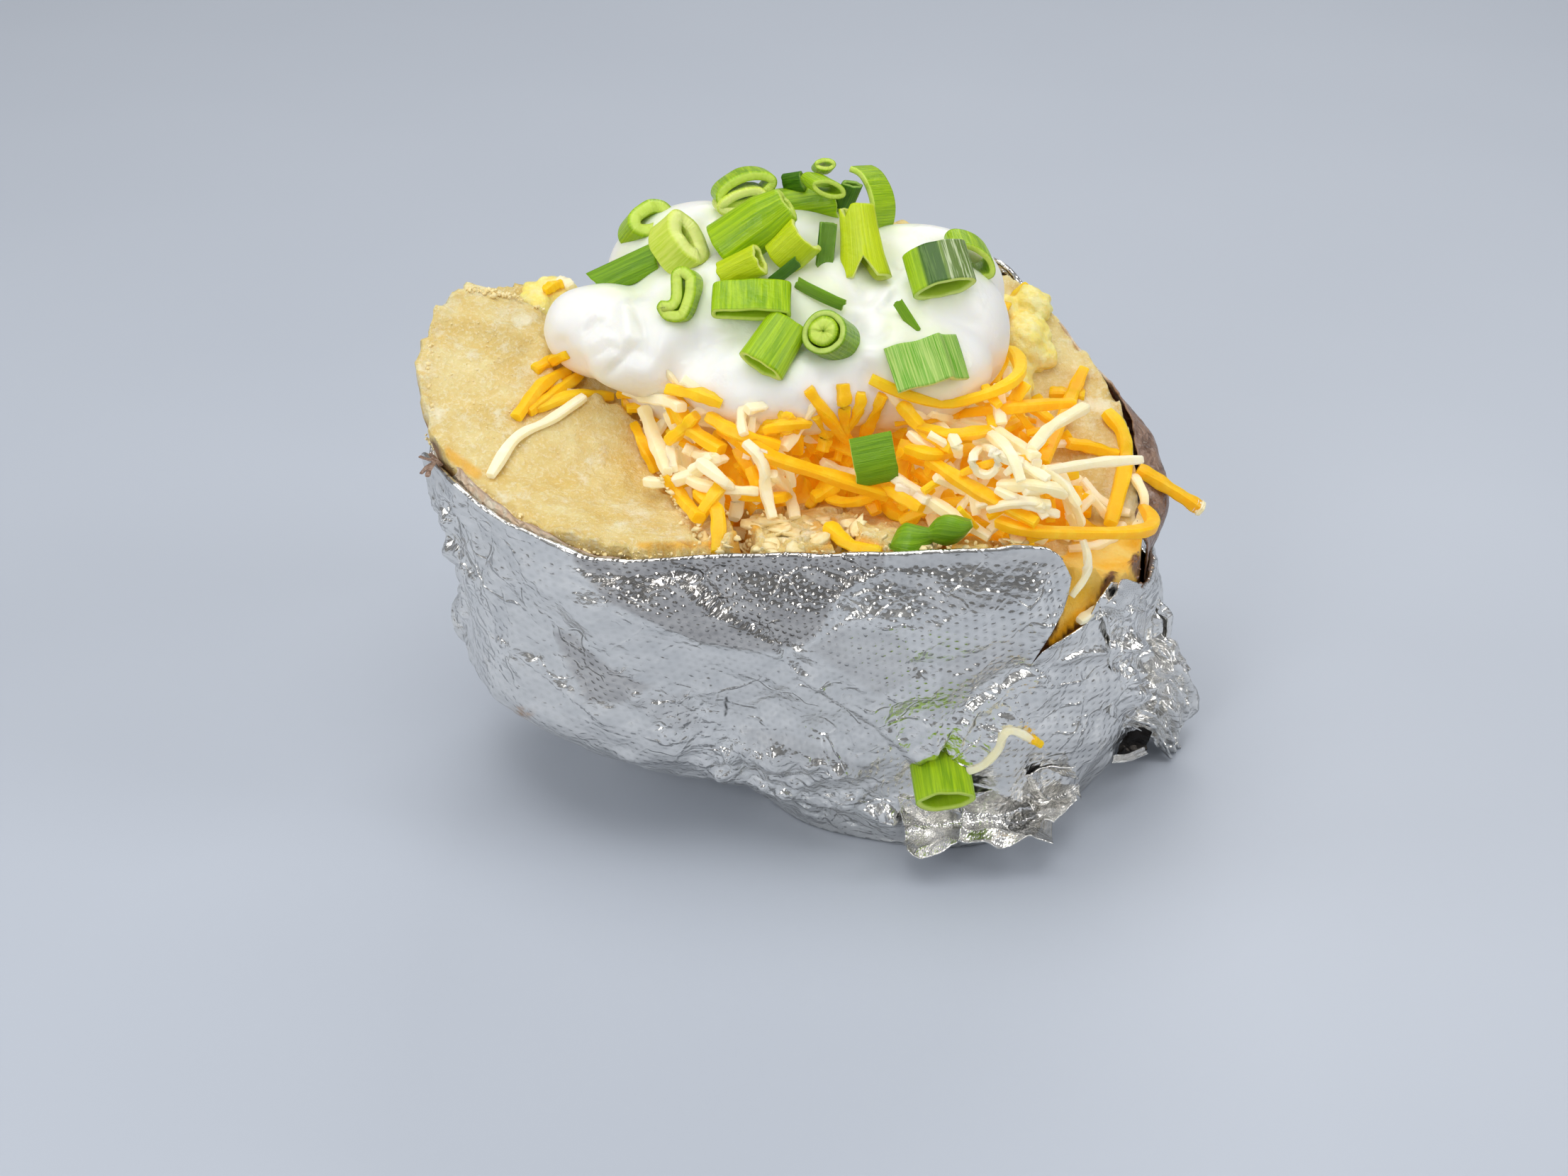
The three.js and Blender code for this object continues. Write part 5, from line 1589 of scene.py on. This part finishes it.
def leaf_mesh(name, at, axis, across, section, wall, length, is_open=False, girth=(1, 1), low_cuts=(),
              high_cuts=(), twist=0, bend=0, slant=0, number=0):
    """A cut piece of leaf: its wall runs out along the outside, over the cut and back inside.

    The section's knots lie along across and square to it. A cut is its place round the leaf,
    its half width there and its depth. girth swells the section on its way along the leaf."""
    axis = unit(axis)
    out = unit(np.cross(axis, across))
    across = np.cross(out, axis)
    mesh, share = grid_mesh(name, LEAF_AROUND, LEAF_ROWS, "wall")
    knots = [0, OUTSIDE_SHARE, OUTSIDE_SHARE + RIM_SHARE, 1 - RIM_SHARE, 1]
    along = np.interp(share[:, 1], knots, [-0.5, 0.5, 0.5, -0.5, -0.5])
    depth = np.interp(share[:, 1], knots, [0, 0, 1, 1, 0])
    edge = np.interp(share[:, 1], [OUTSIDE_SHARE, OUTSIDE_SHARE + RIM_SHARE / 2, OUTSIDE_SHARE + RIM_SHARE,
                                   1 - RIM_SHARE, 1 - RIM_SHARE / 2, 1], [0, 1, 0, 0, -1, 0])
    steps = np.linspace(0, 1, 241)
    section = np.asarray(section, float)
    line = curve_through(section, 241) if is_open else np.stack(
        [around(values, steps * 360) for values in section.T], axis=1)
    tangent = np.gradient(line, axis=0)
    if not is_open:
        tangent[[0, -1]] = line[1] - line[-2]
    inward = np.stack([-tangent[:, 1], tangent[:, 0]], axis=1)
    inward /= np.linalg.norm(inward, axis=1)[:, None]
    spot = np.stack([np.interp(share[:, 0], steps, line[:, side]) for side in (0, 1)], axis=1)
    push = np.stack([np.interp(share[:, 0], steps, inward[:, side]) for side in (0, 1)], axis=1)
    swell = np.interp(along + 0.5, np.linspace(0, 1, len(girth)), girth)
    ring = np.column_stack([spot / np.abs(section).max(), along])
    uneven = 0.045 * np.abs(section).max() * drift(ring * [1.6, 1.6, 0.9] + number, 1.0, 60 + number)
    flat = (spot - push * uneven[:, None]) * swell[:, None] + push * (wall * depth)[:, None]
    turned = twist * along
    first = flat[:, 0] * np.cos(turned) - flat[:, 1] * np.sin(turned)
    second = flat[:, 0] * np.sin(turned) + flat[:, 1] * np.cos(turned)
    forth = along * length + edge * 0.14 * wall + 2 * along * slant * first
    forth += 0.22 * drift(ring * [2.6, 2.6, 0] + 5 * number, 1.0, 90 + number) * np.abs(along * 2)
    for cuts, end in ((low_cuts, -1), (high_cuts, 1)):
        for middle, half, deep in cuts:
            off = np.abs((share[:, 0] - middle + 0.5) % 1 - 0.5)
            forth -= end * deep * np.clip(1 - off / half, 0, 1) * np.clip(2 * along * end, 0, 1)
    curve = bend * (forth / length) ** 2 * length
    spots = np.array(at) + first[:, None] * across + (second - curve)[:, None] * out + forth[:, None] * axis
    set_points(mesh, in_metres(spots))
    form = bmesh.new()
    form.from_mesh(mesh)
    bmesh.ops.remove_doubles(form, verts=form.verts, dist=2e-6)
    if is_open:
        bmesh.ops.holes_fill(form, edges=form.edges, sides=0)
    bmesh.ops.recalc_face_normals(form, faces=form.faces)
    form.to_mesh(mesh)
    return mesh


leaf_finishes = {name: leaf_finish(name, *tones) for name, tones in LEAF_TONES.items()}

# Two sections that are no plain oval: one bent like a boot, and one slit open and folded.
BOOT = [(-1.4, -0.85), (-3.1, -1.1), (-3.7, -2.5), (-2.2, -4.3), (0.9, -4.2), (2.3, -1.4), (2.8, 2.4),
        (0.8, 4.2), (-1.2, 3.2)]
FOLDED = [(-6.2, -0.6), (-4.2, 0.1), (-1.8, 0.0), (0.8, 0.2), (2.4, 0.9), (3.4, -0.4), (5.0, -1.4),
          (6.3, -2.4)]
LEAVES = [
    # place, axis, across, section, wall, length, tone, and what is special about it
    ((-30.9, 17, 93.8), (.4, -.6, .7), (.8, .5, .3), oval(8.8, 6), 2.2, 5.4, "bright", {}),
    ((-33.6, 8.7, 89.2), (.9, .1, .4), (-.4, .5, .8), oval(4.8, 2.4), 0.6, 11, "green", {"slant": 0.4}),
    ((-25, 6.7, 94.6), (.6, -.4, .7), (.5, -.5, -.7), oval(10, 7), 2.7, 5.5, "pale", {}),
    ((-24.2, -3.5, 90.5), (-.25, -.8, .5), (1, 0, 0), BOOT, 1.8, 3.4, "bright", {}),
    ((-12.7, 5.6, 98.2), (.8, 0, .6), (-.5, .5, .7), oval(9, 7), 1.7, 13, "bright",
     {"girth": (1.05, 1, 0.95, 0.66)}),
    ((-14.6, 16, 100.7), (.2, -1, .2), (1, 0, .3), oval(10.5, 5.5), 1.5, 5, "bright", {}),
    ((-4, 17, 97.5), (1, -.1, .2), (-.1, .5, .8), oval(6.5, 5), 0.8, 9.5, "bright", {}),
    ((-1.6, 13, 102.2), (.4, -.9, .1), (.9, .1, -.4), oval(6.5, 3), 0.8, 4.5, "bright", {}),
    ((-1.5, 17, 104), (.2, -.8, .6), (1, .2, -.1), oval(3.6, 2.2), 0.7, 2.5, "bright", {}),
    ((8.4, 18, 98.6), (.62, .69, -.24), (-.25, .5, .81), bow(15, 15, 105), 1, 5.5, "bright",
     {"is_open": True}),
    ((4.4, 6.2, 95.1), (-.1, .7, .7), (1, 0, 0), oval(7.0, 4), 0.9, 12.5, "lime",
     {"girth": (1.25, 1.02, 0.9, 0.84), "low_cuts": [(0.75, 0.08, 3.2)], "high_cuts": [(0.62, 0.07, 2.0)]}),
    ((-1.3, 5.2, 95), (.1, .6, .8), (1, .2, -.2), bow(6, 6, 60), 0.6, 7.5, "dark", {"is_open": True}),
    ((-6.6, 2.7, 96), (.7, 0, .7), (-.5, .1, .8), bow(7, 6, 200), 0.9, 6, "lime", {"is_open": True}),
    ((-14.7, -1.1, 94), (.8, -.2, .5), (-.4, .5, .8), oval(5.2, 4), 0.9, 7, "lime", {}),
    ((-7.9, -1.5, 93.3), (.8, .2, .6), (-.6, 0, .8), bow(4, 4, 60), 0.5, 5.5, "dark",
     {"is_open": True}),
    ((-13.1, -6.3, 90.8), (0, -.9, -.4), (1, 0, 0), oval(12.5, 3.1, 0.6), 0.7, 6, "bright",
     {"slant": 0.02}),
    ((-2.5, -4.6, 90.8), (.9, -.4, -.3), (.4, -.1, .9), bow(5, 5, 50), 0.7, 8.5, "green",
     {"is_open": True, "bend": 0.2}),
    ((-9.4, -12.2, 85.8), (-.5, -.7, -.5), (.8, -.3, -.5), oval(7.4, 4.2), 0.9, 9, "bright",
     {"girth": (0.95, 1, 1.02, 1.05)}),
    ((-0.6, -10.5, 86.4), (-.4, -.7, .6), (.9, -.3, .3), oval(7.4, 7), 1.0, 6, "green", {}),
    ((11.4, -6.9, 88.2), (.5, -.6, -.6), (.8, .1, .6), bow(4, 4, 50), 0.5, 5.8, "green",
     {"is_open": True}),
    ((14.7, -13.2, 83.6), (.3, -.7, -.7), (1, .3, .1), FOLDED[::-1], 0.9, 7.5, "striped",
     {"is_open": True}),
    ((16.8, -0.2, 93.3), (.2, -.8, -.5), (1, 0, .2), oval(10.5, 5), 0.9, 7.5, "banded", {}),
    ((22.2, 8.6, 92.2), (.1, -1, 0), (.8, -.3, -.6), oval(9, 5), 1, 6, "bright", {}),
    ((6.2, -23.5, 71.3), (1, .1, .17), (-.2, .28, .94), bow(8.2, 3, 150), 0.9, 6.6, "green",
     {"is_open": True}),
    ((14.4, -36.2, 65.3), (.9, 0, .3), (-.2, .2, 1), oval(5.4, 3.4), 0.8, 13, "green",
     {"twist": 2.6, "girth": (0.15, 0.9, 1.1, 0.75, 0.45, 0.95, 1.15, 1.0, 0.35)}),
    ((17.8, -37.2, 19.6), (.1, -.93, -.36), (1, 0, 0), oval(9.8, 5.9), 1.0, 7.6, "bright", {}),
]
# Two small scraps behind the others, and the next layer inside two leaves, cut through with them.
INNER_LEAVES = {
    "leaf_scrap_left": ((-6.4, 17.5, 101), (.6, -.5, .3), (-.3, .3, .9), oval(3.4, 1.6), 0.6, 4, "dark"),
    "leaf_scrap_right": ((2.4, 15.5, 99.5), (.3, -.3, .9), (.9, .2, -.2), oval(3.6, 1.8), 0.6, 5, "dark"),
    "leaf_19_inner": ((-.9, -10.9, 86.9), (-.4, -.7, .6), (.9, -.3, .3), oval(5, 4.8), 2.25, 5.2, "bright"),
    "leaf_06_inner": ((-15.2, 14.6, 99.3), (.2, -1, .2), (1, 0, .3), oval(8.6, 4.2), 1.4, 5, "pale"),
}
# How near the cream lies to a leaf, for its painted green shade.
cream_painted_green_shade = np.zeros(len(cream_points))
for number, (at, axis, across, section, wall, length, tone, special) in enumerate(LEAVES, start=1):
    name = "leaf_%02d" % number
    mesh = leaf_mesh(name, at, axis, across, section, wall, length, number=number, **special)
    leaf = make_piece(name, mesh, leaf_finishes[tone])
    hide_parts("scallion_%02d" % number)
    near = np.linalg.norm(cream_points - np.array(at), axis=1)
    size = max(np.ptp(np.array(section), axis=0).max(), length)
    cream_painted_green_shade = np.maximum(cream_painted_green_shade, rise(-near, -0.62 * size - 2.0, -0.45 * size))
for name, (at, axis, across, section, wall, length, tone) in INNER_LEAVES.items():
    mesh = leaf_mesh(name, at, axis, across, section, wall, length, number=40)
    make_piece(name, mesh, leaf_finishes[tone])

# The cream is finished last, because it is painted a darker green beside the cut leaves where they lie:
# painted shade and painted green reflection from them.
sour_cream = Finish("sour_cream", Roughness=0.30, Subsurface_Weight=0.6,
                    Subsurface_Radius=(0.0035, 0.0030, 0.0022), Specular_IOR_Level=0.45)
f = sour_cream
white = f.mix(f.noise(14, 3).step(0.35, 0.7), colour(0.93, 0.92, 0.86), colour(0.95, 0.945, 0.90))
f.varies(Base_Color=f.mix(f.attribute("green") * 0.5, white, colour(0.80, 0.88, 0.55)),
         Roughness=0.26 + 0.16 * f.noise(8, 3))
ripples = f.noise(0.9, 2) * f.noise(9, 3).step(0.52, 0.62)
f.bump((f.noise(4, 3), 0.20), (ripples, 0.16))
note(cream_mesh, "green", cream_painted_green_shade)
set_points(cream_mesh, in_metres(cream_points))
dollop = make_piece("sour_cream_dollop", cream_mesh, sour_cream)
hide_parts("sour_cream")
